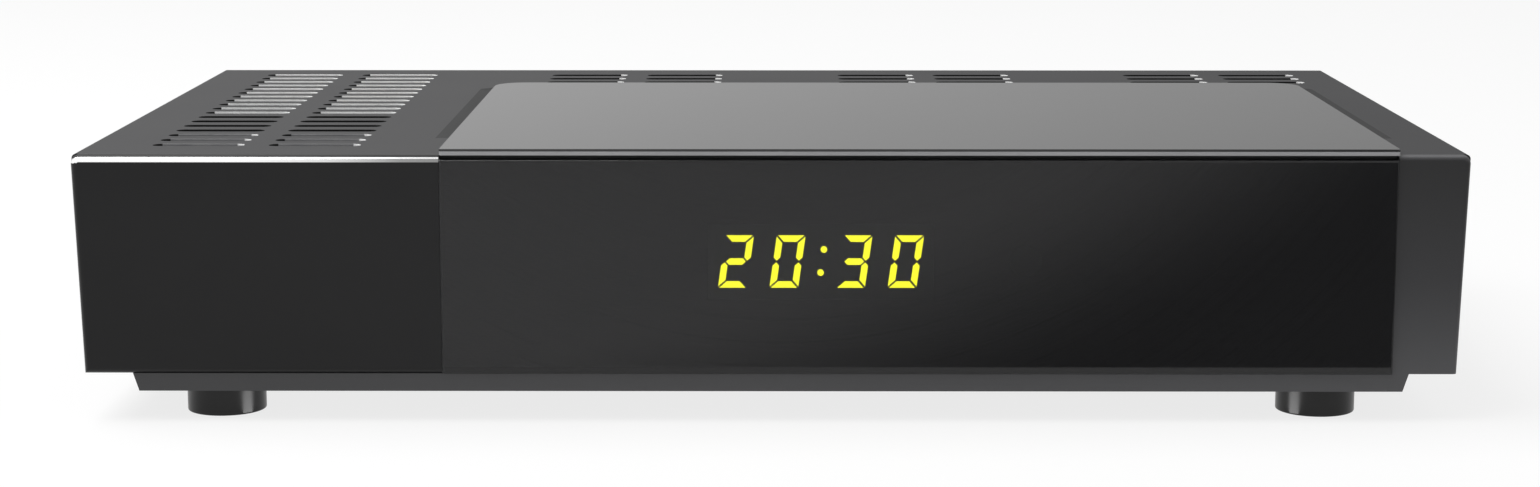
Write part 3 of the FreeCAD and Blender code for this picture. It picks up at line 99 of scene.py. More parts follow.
# %% Start a material and give it relief
def start_material(name, **values):
    """A material with a Principled shader, and coordinates in millimetres."""
    material = bpy.data.materials.new(name)
    material.use_nodes = True
    tree = material.node_tree
    tree.nodes.clear()
    output = add_node(tree, "OutputMaterial")
    shader = add_node(tree, "BsdfPrincipled")
    for socket, value in values.items():
        shader.inputs[socket.replace("_", " ")].default_value = value
    tree.links.new(shader.outputs["BSDF"], output.inputs["Surface"])
    place = add_node(tree, "TexCoord")
    scaled = add_node(tree, "VectorMath",
                      {0: place.outputs["Object"], 1: (1 / MM,) * 3}, operation="MULTIPLY")
    return material, tree, shader, scaled


def set_chips(ramp, first, last, *between):
    """Give a colour ramp the chips of its two ends, and others at their shares."""
    stops = ramp.color_ramp.elements
    stops[0].color, stops[1].color = colour(first), colour(last)
    for share, chip in between:
        stops.new(share).color = colour(chip)


def mottle(tree, shader, where, size_mm, low, high, detail):
    """Colour that wanders between two chips over patches of a given size."""
    noise = add_node(tree, "TexNoise", {"Vector": where, "Scale": 1 / size_mm, "Detail": detail})
    ramp = add_node(tree, "ValToRGB", {"Fac": noise})
    set_chips(ramp, low, high)
    for stop, position in zip(ramp.color_ramp.elements, (0.35, 0.65)):
        stop.position = position
    tree.links.new(ramp.outputs["Color"], shader.inputs["Base Color"])


def relief(tree, shader, height, depth_mm, strength):
    """Bump from a height pattern, at its real depth."""
    bump = add_node(tree, "Bump",
                    {"Height": height, "Distance": depth_mm * MM, "Strength": strength})
    tree.links.new(bump.outputs["Normal"], shader.inputs["Normal"])


def plain(name, low, high, patch_mm, roughness, metallic=0.0, grain_mm=0.5, depth_mm=0.02,
          strength=0.3, detail=2.0, patch_detail=3.0, grit=0.5, **values):
    """A finish of two close chips that wander over patches, with a fine grain."""
    material, tree, shader, where = start_material(
        name, Roughness=roughness, Metallic=metallic, **values)
    mottle(tree, shader, where, patch_mm, low, high, patch_detail)
    grain = add_node(tree, "TexNoise", {
        "Vector": where, "Scale": 1 / grain_mm, "Detail": detail, "Roughness": grit})
    relief(tree, shader, grain, depth_mm, strength)
    return material


def finish_with(material, *names):
    """Put a material on pieces of the frame."""
    for name in names:
        nodes[name].data.materials.clear()
        nodes[name].data.materials.append(material)


print("finishes are ready to be mixed")

# %% [markdown]
# ## Powder-coated sheet steel
# The cover is folded from steel sheet and sprayed with black powder that melts
# into a film. The film is never quite flat: it has a fine orange peel, which
# spreads a highlight into a soft grey sheen when it is seen at a low angle.
# The peel is drawn at 0.5 mm, near its real size. The edges of the slots carry
# a painted highlight, a painted shade or a painted half shade, and the troughs
# beside the plate a darker coat that is painted shade.

# %% The cover's coat and the edges of its slots
powder_coat = plain("powder_coat", "17171a", "1c1c1e", 40, 0.53, depth_mm=0.03, grit=0.6, IOR=1.5)
# painted shade: the troughs beside the plate get a darker coat than the roof
trough_painted_shade = plain("trough_painted_shade", "121213", "171718", 30, 0.72, depth_mm=0.03, grit=0.6, IOR=1.5)
inner_coat = plain("inner_coat", "1a1a1b", "202022", 30, 0.6,
                   grain_mm=0.625, depth_mm=0.03, strength=0.4, IOR=1.5)
tray_coat = plain("black_tray_coat", "1c1c1d", "222224", 30, 0.5, depth_mm=0.03, IOR=1.5)
# painted light on the slot walls: a painted highlight, a painted shade and a painted half shade
painted_highlight_edge = plain("painted_highlight_slot_edge", "f0f0f0", "fbfbfb", 3, 0.45,
                    grain_mm=0.25, strength=0.4, IOR=1.5)
painted_shade_edge = plain("painted_shade_slot_edge", "060606", "0c0c0c", 3, 0.7,
                  grain_mm=0.25, strength=0.4, IOR=1.5, Specular_IOR_Level=0.15)
painted_half_shade_edge = plain("painted_half_shade_slot_edge", "7c7c7e", "888889", 3, 0.5,
                  grain_mm=0.25, strength=0.4, IOR=1.5)
finish_with(tray_coat, "chassis_base")
print("coats for the cover, its edges and the tray")

# %% [markdown]
# ## Moulded ABS
# The front frame and the left cap are moulded from black ABS in a lightly
# etched mould, which leaves a fine satin grain. The frame's colour carries
# painted light. A ramp over its height in millimetres paints the right block
# lighter towards the floor, a painted reflection of the table, and puts a
# painted highlight along its upper edge. A second, gentle ramp across its
# width is painted light that makes its right end lighter than its left.

# %% The bezel and the cap
etched_abs, tree, shader, where = start_material("etched_abs", Roughness=0.42, IOR=1.53)
spot = add_node(tree, "SeparateXYZ", {"Vector": where})
climb = add_node(tree, "MapRange", {"Value": spot.outputs["Z"], "From Min": 9.0, "From Max": 51.0})
# painted light over the height: a painted reflection of the table lower down, a painted highlight
# at the upper edge
painted_light_ramp = add_node(tree, "ValToRGB", {"Fac": climb})
set_chips(painted_light_ramp, "3f3f41", "4a4a4b", (0.44, "28282a"), (0.972, "131314"), (0.987, "2a2a2c"),
          (0.994, "5a5a5c"))
patches = add_node(tree, "TexNoise", {"Vector": where, "Scale": 1 / 25, "Detail": 3.0})
level = add_node(tree, "MapRange", {"Value": patches, "To Min": 0.93, "To Max": 1.07})
# painted light across the width: the right end lighter than the left
across = add_node(tree, "MapRange", {
    "Value": spot.outputs["X"], "From Min": -120.0, "From Max": 130.0,
    "To Min": 0.52, "To Max": 1.16})
both = add_node(tree, "Math", {0: level, 1: across}, operation="MULTIPLY")
tinted = add_node(tree, "VectorMath", {0: painted_light_ramp, 1: both}, operation="MULTIPLY")
tree.links.new(tinted.outputs["Vector"], shader.inputs["Base Color"])
grain = add_node(tree, "TexNoise", {"Vector": where, "Scale": 1 / 0.25, "Detail": 2.0})
relief(tree, shader, grain, 0.02, 0.3)
finish_with(etched_abs, "front_bezel")
cap_abs = plain("fine_satin_abs", "0b0b0c", "0f0f10", 25, 0.3, grain_mm=0.2, depth_mm=0.012,
                strength=0.25, IOR=1.53, Specular_IOR_Level=0.23)
print("mouldings mixed")

# %% [markdown]
# ## A painted highlight on the cap's edge
# The cap's rounded top edge is a bright metal foil whose colour is a painted
# highlight: it is brightest at the outer end and falls over its last 40 mm
# towards the window, as the light of a lamp at the left would.

# %% The foil on the cap's edge
painted_highlight_foil, tree, shader, where = start_material("foil_with_painted_highlight", Roughness=0.22, Metallic=1.0)
spot = add_node(tree, "SeparateXYZ", {"Vector": where})
# painted highlight: the foil's colour falls from white at the outer end to grey towards the window
fall = add_node(tree, "MapRange", {
    "Value": spot.outputs["X"], "From Min": -100.0, "From Max": -62.0})
tone = add_node(tree, "ValToRGB", {"Fac": fall})
set_chips(tone, "ffffff", "8c8c8c", (0.42, "e2e2e2"), (0.82, "969696"))
scuffs = add_node(tree, "TexNoise", {"Vector": where, "Scale": 1.5, "Detail": 3.0})
worn = add_node(tree, "MapRange", {"Value": scuffs, "To Min": 0.97, "To Max": 1.03})
toned = add_node(tree, "VectorMath", {0: tone, 1: worn}, operation="MULTIPLY")
tree.links.new(toned.outputs["Vector"], shader.inputs["Base Color"])
relief(tree, shader, scuffs, 0.01, 0.2)
print("foil stamped")

# %% [markdown]
# ## Gloss black sheet, and smoked acrylic
# The plate on the roof is a thin sheet of polished black plastic bonded to a
# grey carrier. Seen at a low angle the sheet mirrors the bright room behind
# it, so it looks light grey. The carrier shows only as a pale line at its edge.
# The window is a sheet of dark, clear acrylic with a polished face. A little
# light passes through, so a lit bar behind it shows, and an unlit one does
# not. Alpha stands for that: the sheet hides most of what is behind it. Both
# sheets have a long, very shallow wave instead of a grain.

# %% The plate's two layers and the window
gloss_sheet = plain("polished_black_sheet", "1a1a1b", "1e1e1f", 60, 0.12,
                    grain_mm=25 / 3, strength=0.15, detail=1.0, IOR=1.5)
grey_carrier = plain("grey_carrier", "8e8e90", "969698", 20, 0.35,
                     grain_mm=1 / 3, depth_mm=0.01, IOR=1.5)
smoked_acrylic = plain("smoked_acrylic", "0b0b0d", "0e0e10", 80, 0.02, grain_mm=50,
                       strength=0.05, detail=1.0, patch_detail=1.0, IOR=1.49, Alpha=0.8)
print("plate's layers and window mixed")

# %% [markdown]
# ## The rest of the finishes
# What is seen at the rear, underneath and through the slots has simpler
# finishes. Each is two close chips that wander over patches of a stated size,
# and a fine grain of 0.5 mm.

# %% Plain finishes
foot_rubber = plain("moulded_rubber", "0a0a0a", "0e0e0e", 6, 0.3, Specular_IOR_Level=0.33)
zinc = plain("zinc_plated_steel", "b0b0b4", "c2c2c4", 2, 0.3, 1.0)
brass = plain("turned_brass", "b89550", "c8a35a", 2, 0.3, 1.0)
nickel = plain("nickel_plate", "b5b1a8", "c4c0b6", 2, 0.24, 1.0)
white_nylon = plain("white_nylon", "d8d4c8", "e0dcd0", 2, 0.4)
black_nylon = plain("black_nylon", "141414", "181818", 2, 0.4)
black_pbt = plain("black_pbt", "121212", "171717", 4, 0.42)
aluminium = plain("can_aluminium", "b8b9bb", "c6c7c8", 3, 0.34, 1.0)
mark_white = plain("printed_white", "dcdcdc", "e6e6e6", 2, 0.5)
red_pvc = plain("red_pvc_sleeve", "8c1818", "981e1e", 4, 0.4)
brown_pvc = plain("brown_pvc_sleeve", "4a2a18", "54301c", 4, 0.4)
blue_pvc = plain("blue_pvc_sleeve", "16346e", "1c3c7c", 4, 0.4)
chip_epoxy = plain("moulded_epoxy", "181818", "1e1e1e", 2, 0.5)
FINISHES = [
    (plain("tinplate", "b4b4b0", "c2c2be", 8, 0.28, 1.0), ["tuner_can"]),
    (nickel, ["hdmi_shell", "usb_shell", "audio_socket", "inlet_pins", "switch_terminals",
              "lnb_socket", "loop_socket", "socket_nuts"]),
    (white_nylon, ["socket_insulators", "power_plugs", "ribbon_connectors", "board_supports"]),
    (black_nylon, ["hdmi_tongue", "usb_tongue"]),
    (chip_epoxy, ["main_processor", "memory_chips", "power_transistor"]),
    (plain("tinted_lens", "1a0c10", "220f14", 2, 0.12), ["infrared_receiver"]),
    (plain("display_block", "0a0a0a", "0e0e0e", 3, 0.6), ["led_display"]),
    (plain("unlit_bar", "0c0c0a", "10100e", 2, 0.5), ["unlit_segments"]),
    (plain("black_anodised", "1c1c1e", "242426", 5, 0.4, 1.0),
     ["processor_heatsink", "power_heatsink"]),
    (black_pbt, ["scart_socket", "audio_housing", "mains_inlet", "switch_housing",
                 "switch_rocker"]),
    (plain("polyester_tape", "c8a020", "d8b030", 6, 0.35), ["power_transformer", "line_filter"]),
    (plain("fuse_case", "202020", "282828", 3, 0.4), ["fuse_link"]),
    (zinc, ["cover_screws"]),
]
for finish, names in FINISHES:
    finish_with(finish, *names)
print(len(FINISHES), "plain finishes")

# %% [markdown]
# ## Circuit boards
# A board is glass laminate under green solder mask, with copper tracks that
# show as a slightly lighter pattern. A brick pattern 3 mm across, offset from
# row to row, stands for the tracks.

# %% Solder mask
solder_mask, tree, shader, where = start_material("solder_mask", Roughness=0.3, IOR=1.5)
tracks = add_node(tree, "TexBrick", {
    "Vector": where, "Color1": colour("123c1c"), "Color2": colour("184824"),
    "Mortar": colour("2a6a38"), "Scale": 0.33, "Mortar Size": 0.04, "Brick Width": 1.6,
    "Row Height": 0.5})
tree.links.new(tracks.outputs["Color"], shader.inputs["Base Color"])
relief(tree, shader, tracks.outputs["Fac"], 0.035, 0.5)
finish_with(solder_mask, "main_board", "display_board", "power_board")
print("boards masked")

# %% [markdown]
# ## Light that comes from the clock
# The lit bars are small light guides over yellow-green lamps. Each face of the
# window lets a fifth of their light through, so they are about 25 times
# brighter than the yellow that is seen.

# %% Lit bars
lit_bar, tree, shader, where = start_material(
    "lit_bar", Roughness=0.4, Base_Color=colour("606010"), Emission_Strength=26.0)
glow = add_node(tree, "TexNoise", {"Vector": where, "Scale": 1 / 3, "Detail": 1.0})
hue = add_node(tree, "ValToRGB", {"Fac": glow})
set_chips(hue, "f8fa1c", "ffff28")
tree.links.new(hue.outputs["Color"], shader.inputs["Emission Color"])
print("clock lamps on")

# %% [markdown]
# ## Tools for making meshes
# Every new piece is a mesh of its own that rides on a body of the frame. The
# helpers below make a piece from a mesh, cut one mesh out of another, shade a
# finished piece, and let it stand for pieces of the frame.


# %% Pieces, cuts and shading
def settle(piece):
    """Apply a piece's modifiers to its mesh."""
    graph = bpy.context.evaluated_depsgraph_get()
    mesh = bpy.data.meshes.new_from_object(piece.evaluated_get(graph))
    old = piece.data
    piece.modifiers.clear()
    piece.data = mesh
    mesh.name = piece.name
    bpy.data.meshes.remove(old)


def shade(piece, angle):
    """Smooth shading that keeps flat faces flat and corners sharp."""
    piece.data.shade_smooth()
    piece.data.set_sharp_from_angle(angle=math.radians(angle))
    weigh = piece.modifiers.new("weigh", "WEIGHTED_NORMAL")
    weigh.keep_sharp = True
    weigh.weight = 100
    settle(piece)


def object_from(name, bm, *materials):
    """An object from a bmesh drawn in millimetres."""
    bmesh.ops.recalc_face_normals(bm, faces=bm.faces)
    bmesh.ops.scale(bm, vec=(MM, MM, MM), verts=bm.verts)
    mesh = bpy.data.meshes.new(name)
    bm.to_mesh(mesh)
    bm.free()
    for material in materials:
        mesh.materials.append(material)
    item = bpy.data.objects.new(name, mesh)
    bpy.context.scene.collection.objects.link(item)
    return item


def carve(piece, cutter):
    """Cut one object out of another; the cut faces keep the cutter's finish."""
    cut = piece.modifiers.new("cut", "BOOLEAN")
    cut.operation = "DIFFERENCE"
    cut.solver = "EXACT"
    cut.material_mode = "TRANSFER"
    cut.object = cutter
    settle(piece)
    bpy.data.objects.remove(cutter)


def join_in(piece, *stands_for, slot, body="case", angle=30):
    """Shade a finished piece, put it on its body and let it stand for frame pieces."""
    shade(piece, angle)
    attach(piece, body)
    if stands_for:
        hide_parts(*stands_for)


print("mesh tools ready")

# %% [markdown]
# ## Outlines and rings
# Most parts are drawn as a maker draws them: a flat outline that is pushed
# through a depth, or a profile that is turned about an axis. These helpers
# round an outline's corners, move its edges inwards, turn it on the spot, and
# give a bend or a ring its points.


# %% Outlines, bends and rings
ROUND = 48          # points round a full turn, where a piece needs no other number


def outline_of(*spots):
    """A plain outline from its corners."""
    return [Vector(spot) for spot in spots]


def oblong(x, y, width, height):
    """A rectangle about its middle."""
    return outline_of(*((x + u * width / 2, y + v * height / 2)
                        for u, v in ((-1, -1), (1, -1), (1, 1), (-1, 1))))


def spun(outline, angle, x, y):
    """An outline turned about its own zero and moved to (x, y)."""
    return [Vector((x + u * math.cos(angle) - v * math.sin(angle),
                    y + u * math.sin(angle) + v * math.cos(angle))) for u, v in outline]


def rounded(corners, steps):
    """A closed outline, anticlockwise, from corners (u, v, radius)."""
    outline = []
    count = len(corners)
    for i, (u, v, radius) in enumerate(corners):
        here = Vector((u, v))
        if radius <= 0:
            outline.append(here)
            continue
        back = (Vector(corners[i - 1][:2]) - here).normalized()
        ahead = (Vector(corners[(i + 1) % count][:2]) - here).normalized()
        half = back.angle(ahead) / 2
        centre = here + (back + ahead).normalized() * radius / math.sin(half)
        start = here + back * radius / math.tan(half) - centre
        turn = start.angle_signed(here + ahead * radius / math.tan(half) - centre)
        for step in range(steps + 1):
            spot = start.copy()
            spot.rotate(Matrix.Rotation(-turn * step / steps, 2))
            outline.append(centre + spot)
    return outline


def inset(outline, depths):
    """Move each edge of an outline inwards by its own depth."""
    lines = []
    for i, here in enumerate(outline):
        way = (outline[(i + 1) % len(outline)] - here).normalized()
        normal = Vector((-way.y, way.x))
        lines.append((here + normal * depths[i], way, normal))
    moved = []
    for i, (here, way, normal) in enumerate(lines):
        before, back_way, _ = lines[i - 1]
        cross = back_way.x * way.y - back_way.y * way.x
        if abs(cross) < 1e-6:       # the two edges are in line
            moved.append(outline[i] + normal * depths[i])
            continue
        gap = here - before
        moved.append(before + back_way * ((gap.x * way.y - gap.y * way.x) / cross))
    return moved


def arc(radius, along, bend, start=0, end=90, steps=4):
    """Profile points (radius, along) round a bend, between two angles in degrees."""
    angles = [math.radians(start + (end - start) * step / steps) for step in range(steps + 1)]
    return [(radius + bend * math.cos(a), along + bend * math.sin(a)) for a in angles]


def ring_about(x, z, y, reach):
    """A ring round an axis along Y; reach gives the radius at an angle."""
    angles = [math.tau * step / ROUND for step in range(ROUND)]
    return [(x + reach(a) * math.cos(a), y, z + reach(a) * math.sin(a)) for a in angles]


print("outlines ready")

# %% [markdown]
# ## Solids
# A solid is a skin over a row of rings. A prism has two rings, a slab with
# rounded edges has a few more, and a turned part has one for each point of its
# profile. A small placing function says which way an outline faces.


# %% Solids from rings
def loft(bm, rings, closed=False, index=0):
    """Skin rings of equal length, and cap both ends or close the last on the first."""
    made = [[bm.verts.new(spot) for spot in ring] for ring in rings]
    count = len(made[0])
    faces = []
    for low, high in zip(made, made[1:] + (made[:1] if closed else [])):
        for i in range(count):
            j = (i + 1) % count
            faces.append(bm.faces.new((low[i], low[j], high[j], high[i])))
    if not closed:
        faces += [bm.faces.new(made[0][::-1]), bm.faces.new(made[-1])]
    for face in faces:
        face.material_index = index
    return made


def flat_z(u, v, w):
    """An outline that lies flat, pushed upwards."""
    return (u, v, w)


def facing_front(u, v, w):
    """An upright outline, pushed towards the front."""
    return (u, -w, v)


def facing_rear(u, v, w):
    """An upright outline, pushed towards the rear."""
    return (u, w, v)


def prism(bm, outline, low, high, place, index=0):
    """A straight solid; place turns (u, v, w) into (x, y, z)."""
    loft(bm, [[place(u, v, w) for u, v in outline] for w in (low, high)], index=index)


def rounded_slab(bm, outline, low, high, rounding, place, steps):
    """A slab whose edges are rounded at w = high; rounding gives each edge's radius."""
    ends = outline[1:] + outline[:1]
    radii = [rounding((here + ahead) / 2) for here, ahead in zip(outline, ends)]
    rings = [[place(u, v, low) for u, v in outline]]
    for step in range(steps + 1):
        angle = math.pi / 2 * step / steps
        loop = inset(outline, [radius * (1 - math.cos(angle)) for radius in radii])
        rings.append([place(u, v, high - max(radii[i - 1], radii[i]) * (1 - math.sin(angle)))
                      for i, (u, v) in enumerate(loop)])
    loft(bm, rings)


def turned(bm, profile, centre, axis="y", steps=ROUND, index=0):
    """Turn a profile of (radius, along) about the y or z axis through centre."""
    rings = []
    for radius, along in profile:
        ring = []
        for step in range(steps):
            angle = math.tau * step / steps
            a, b = max(radius, 1e-4) * math.cos(angle), max(radius, 1e-4) * math.sin(angle)
            spot = Vector((a, along, b) if axis == "y" else (a, b, along))
            ring.append(spot + Vector(centre))
        rings.append(ring)
    loft(bm, rings, index=index)


print("solids ready")

# %% [markdown]
# ## The folded cover
# The cover is one sheet, 0.8 mm thick, folded down at both sides and at the
# rear. A press brake leaves an outside bend of about 0.9 mm, and the sides
# lean in a little towards the floor. The block below is the outside; cutting
# away the room inside, and the opening for the rear panel, leaves the sheet.

# %% Outside and inside of the sheet
ROOF, REAR = 51.0, 71.0
bm = bmesh.new()
outside = outline_of((-129.35, 9.4), (129.35, 9.4), (130.599, ROOF), (-130.599, ROOF))
prism(bm, outside, -78.9, REAR, facing_rear)
bends = [edge for edge in bm.edges if all(v.co.z > ROOF - 0.1 for v in edge.verts)
         and (abs(edge.verts[0].co.x - edge.verts[1].co.x) < 0.1
              or all(v.co.y > REAR - 0.1 for v in edge.verts))]
bmesh.ops.bevel(bm, geom=bends, offset=0.9, segments=8, profile=0.5, affect="EDGES")
cover = object_from("cover_sheet", bm, powder_coat)
under = ((-128.55, 9.4), (-128.55, 8.4), (128.55, 8.4), (128.55, 9.4))
for name, side, top, start, end in (("room", 129.8, ROOF - 0.8, -80.0, REAR - 0.8),
                                    ("opening", 129.53, 42.0, 69.4, REAR + 1)):
    bm = bmesh.new()
    prism(bm, outline_of(*under, (side, top), (-side, top)), start, end, facing_rear)
    carve(cover, object_from(name, bm, inner_coat))
print(len(cover.data.polygons), "faces in the bare sheet")

# %% [markdown]
# ## Slots
# Fifty-four round-ended slots let the warm air out: two columns of eighteen at
# the left, and a short field along the rear. A punch leaves a slightly rolled
# upper edge, so each cutter flares by 0.1 mm at the top. The walls of the
# slots carry painted light and shade by row and by side: in the eleven side
# rows nearest the rear the long edges have a painted highlight, the next four
# rows painted shade, and the last three a painted half shade. The rear field's
# long edges are painted shade. Left ends are painted shade, and right ends a
# painted highlight except in the four shaded rows.

# %% Punch the slots
SLOT_PITCH, FIRST_ROW = 7.35, 58.7
END_RADIUS, HALF_STRAIGHT, END_STEPS = 1.5, 7.2, 8
# which painted light a slot wall takes: painted highlight, painted shade or painted half shade
PAINTED_HIGHLIGHT, PAINTED_SHADE, PAINTED_HALF_SHADE = range(3)


def slot_ring(x, y, grow):
    """A round-ended slot, grown all round."""
    ring = []
    reach = END_RADIUS + grow
    for side in (1, -1):
        for step in range(END_STEPS + 1):
            angle = math.pi * (step / END_STEPS - 0.5)
            ring.append((x + side * (HALF_STRAIGHT + reach * math.cos(angle)),
                         y + side * reach * math.sin(angle)))
    return ring


def edges_of(row):
    """The painted highlight or shade of a side row's long edges and of its right end."""
    return (PAINTED_HIGHLIGHT, PAINTED_HIGHLIGHT) if row < 11 else (PAINTED_SHADE, PAINTED_SHADE) if row < 15 else (PAINTED_HALF_SHADE, PAINTED_HIGHLIGHT)


side_slots = [(x, row, *edges_of(row)) for x in (-109.3, -87.1) for row in range(18)]
rear_slots = [(x, row, PAINTED_SHADE, PAINTED_HIGHLIGHT) for x in (-42.7, -20.5, 23.9, 46.1, 90.5, 112.7)
              for row in range(3)]
bm = bmesh.new()
for x, row, long_edge, right_end in side_slots + rear_slots:
    y = FIRST_ROW - SLOT_PITCH * row
    flare = ((-2.0, 0.0), (-0.1, 0.0), (-0.03, 0.03), (0.0, 0.1), (1.0, 0.1))
    skin = loft(bm, [[(u, v, ROOF + up) for u, v in slot_ring(x, y, grow)] for up, grow in flare])
    for face in {face for ring in skin for spot in ring for face in spot.link_faces}:
        shift = face.calc_center_median().x - x
        if shift > HALF_STRAIGHT + 0.05:
            face.material_index = right_end
        else:
            face.material_index = PAINTED_SHADE if shift < -5 and len(face.verts) == 4 else long_edge
carve(cover, object_from("punch", bm, painted_highlight_edge, painted_shade_edge, painted_half_shade_edge))
print(len(side_slots), "slots at the side,", len(rear_slots), "at the rear")

# %% [markdown]
# ## Troughs, notch and holes
# A shallow trough, 0.3 mm deep, runs along each side of the plate; its darker
# coat is a painted shade beside the plate. The front edge is notched for the
# window, six square holes take the plate's hooks, and three round holes in the
# rear flange take the screws.

# %% Press the troughs, then cut the notch and the holes
PLATE_LEFT, PLATE_RIGHT, PLATE_REAR = -61.7, 117.1, 32.5
HOOKS = [(x, y) for x in (-53.7, 109.1) for y in (-61.0, -23.0, 15.0)]
SCREWS, SCREW_HEIGHT = (-112, 0, 112), 46.0
bm = bmesh.new()
for edge, out in ((PLATE_LEFT, -1), (PLATE_RIGHT, 1)):
    inner, outer = edge - out * 6.5, edge + out * 3.6
    rings = []
    for up, pull in ((-0.3, 1.1), (0.0, 0.0), (1.0, 0.0)):
        front, rear = -55.8 + pull * 4, PLATE_REAR + 0.1 - pull
        rings.append([(u, v, ROOF + up) for u, v in (
            (inner, front), (outer - out * pull, front),
            (outer - out * pull, 30.2 - pull * 0.4),
            (outer - out * (2.4 + pull * 0.6), rear), (inner, rear))])
    loft(bm, rings)
carve(cover, object_from("troughs", bm, trough_painted_shade))

bm = bmesh.new()
prism(bm, oblong(27.7, -79.3, 178.8, 2.0), ROOF - 2, ROOF + 1, flat_z)
for x, y in HOOKS:
    prism(bm, oblong(x, y, 8.4, 2.7), ROOF - 2, ROOF + 1, flat_z)
for x in SCREWS:
    turned(bm, [(1.55, REAR - 2), (1.55, REAR + 1)], (x, 0, SCREW_HEIGHT), steps=24)
carve(cover, object_from("holes", bm, inner_coat))
join_in(cover, "top_cover", slot="cover_metal")
print(len(cover.data.polygons), "faces in the finished cover")

# %% [markdown]
# ## The plate on the roof
# The plate is two layers of one outline, with large rounded corners at the
# rear and small ones at the front. Six hooks under it grip the cover.

# %% Sheet and carrier
FRONT = 81.0
GLUE_LINE, PLATE_TOP = 51.75, 52.1999
outline = rounded([(PLATE_LEFT, -FRONT, 0.5), (PLATE_RIGHT, -FRONT, 0.5),
                   (PLATE_RIGHT, PLATE_REAR, 6.5), (PLATE_LEFT, PLATE_REAR, 6.5)], 12)
bm = bmesh.new()
rounded_slab(bm, outline, GLUE_LINE, PLATE_TOP, lambda middle: 0.08, flat_z, steps=5)
join_in(object_from("plate_sheet", bm, gloss_sheet), slot="plate_plastic")
bm = bmesh.new()
prism(bm, inset(outline, [0.03] * len(outline)), ROOF, GLUE_LINE, flat_z)
for x, y in HOOKS:
    prism(bm, oblong(x, y, 8.0, 1.6), ROOF - 2.8, ROOF + 0.2, flat_z)
    prism(bm, oblong(x, y + 1.1, 8.0, 0.6), ROOF - 2.8, ROOF - 1, flat_z)
join_in(object_from("plate_carrier", bm, grey_carrier), "top_plate", slot="plate_plastic")
print("plate in two layers")

# %% [markdown]
# ## The left cap
# The cap closes the front at the left. Its front edges are rounded to 1.5 mm,
# and its outer upper corner to 1.7 mm. The faces of the top rounding that lean
# forward carry the foil and its painted highlight. Four square pegs hold it to
# the frame.

# %% Cap with its foil edge
CAP_RIGHT, CAP_LOW = -61.8, 9.4
cap_outline = rounded([(-129.35, CAP_LOW, 0), (CAP_RIGHT, CAP_LOW, 0), (CAP_RIGHT, ROOF, 0),
                       (-130.6, ROOF, 1.7)], 12)


def cap_rounding(middle):
    """All front edges are rounded but the one beside the window."""
    return 0.0 if middle.x > CAP_RIGHT - 0.1 else 1.5


bm = bmesh.new()
rounded_slab(bm, cap_outline, FRONT - 2, FRONT, cap_rounding, facing_front, steps=12)
for x in (-120.35, -70.7):
    for z in (42.0, 18.4):
        prism(bm, oblong(x, z, 3.0, 3.0), -79.2, -76.4, facing_rear)
cap = object_from("front_cap", bm, cap_abs, painted_highlight_foil)
# the forward-leaning faces of the top rounding take the foil with its painted highlight
for face in cap.data.polygons:
    ahead, up = -face.normal.y, face.normal.z
    if face.center.z > 0.0492 and ahead > 0.05 and 6 < math.degrees(math.atan2(up, ahead)) < 45:
        face.material_index = 1
join_in(cap, "left_fascia", slot="fascia_plastic")
print("cap moulded, its edge stamped")

# %% [markdown]
# ## The window
# The acrylic is 2.5 mm thick. Its upper edge is rounded to 0.5 mm, its left
# edge is sharp against the cap, and the other edges are only broken.

# %% Window
PANE_LEFT, PANE_TOP = -61.78, 50.2


def pane_rounding(middle):
    """The radius of each edge of the pane's face."""
    return 0.5 if middle.y > PANE_TOP - 0.2 else 0.05 if middle.x < -61 else 0.3


bm = bmesh.new()
pane = outline_of((PANE_LEFT, 9.45), (117.0, 9.45), (117.0, PANE_TOP), (PANE_LEFT, PANE_TOP))
rounded_slab(bm, pane, FRONT - 2.5, FRONT, pane_rounding, facing_front, steps=10)
join_in(object_from("acrylic_window", bm, smoked_acrylic), "front_window", slot="window_plastic")
print("window set")

# %% [markdown]
# ## The clock's bars
# A digit has seven bars that meet in mitres with a thin dark gap, and the
# whole digit leans 8 degrees. Only the bars that show 20:30 are lit. The colon
# is two round dots. WIDE and TALL are the half width and height of a digit
# between the middles of its bars, and THICK is half a bar. GAP shortens each
# bar at its mitres, and POINT keeps the upright bars' tips off the middle line.

# %% Lit bars and colon
LEAN = math.tan(math.radians(8))
WIDE, TALL, THICK, GAP = 2.09, 4.38, 0.61, 0.25
POINT = 0.18
CLOCK_X, CLOCK_Z = 9.5, 30.5
FACE = (77.9, 78.1)


def bar_outline(bar):
    """The mitred outline of one bar of a digit, upright and centred."""
    if bar == "g":
        end, neck = WIDE - GAP, WIDE - THICK - GAP
        return [(-end, 0), (-neck, -THICK), (neck, -THICK), (end, 0), (neck, THICK), (-neck, THICK)]
    if bar in "ad":
        outer, inner = WIDE + THICK - GAP, WIDE - THICK - GAP
        points = [(-outer, TALL + THICK), (outer, TALL + THICK), (inner, TALL - THICK),
                  (-inner, TALL - THICK)]
        return points if bar == "a" else [(u, -v) for u, v in points]
    points = [(WIDE + THICK, TALL + THICK - GAP), (WIDE + THICK, THICK + POINT), (WIDE, POINT),
              (WIDE - THICK, THICK + POINT), (WIDE - THICK, TALL - THICK - GAP)]
    left, low = (-1 if bar in "ef" else 1), (-1 if bar in "ce" else 1)
    return [(left * u, low * v) for u, v in points]


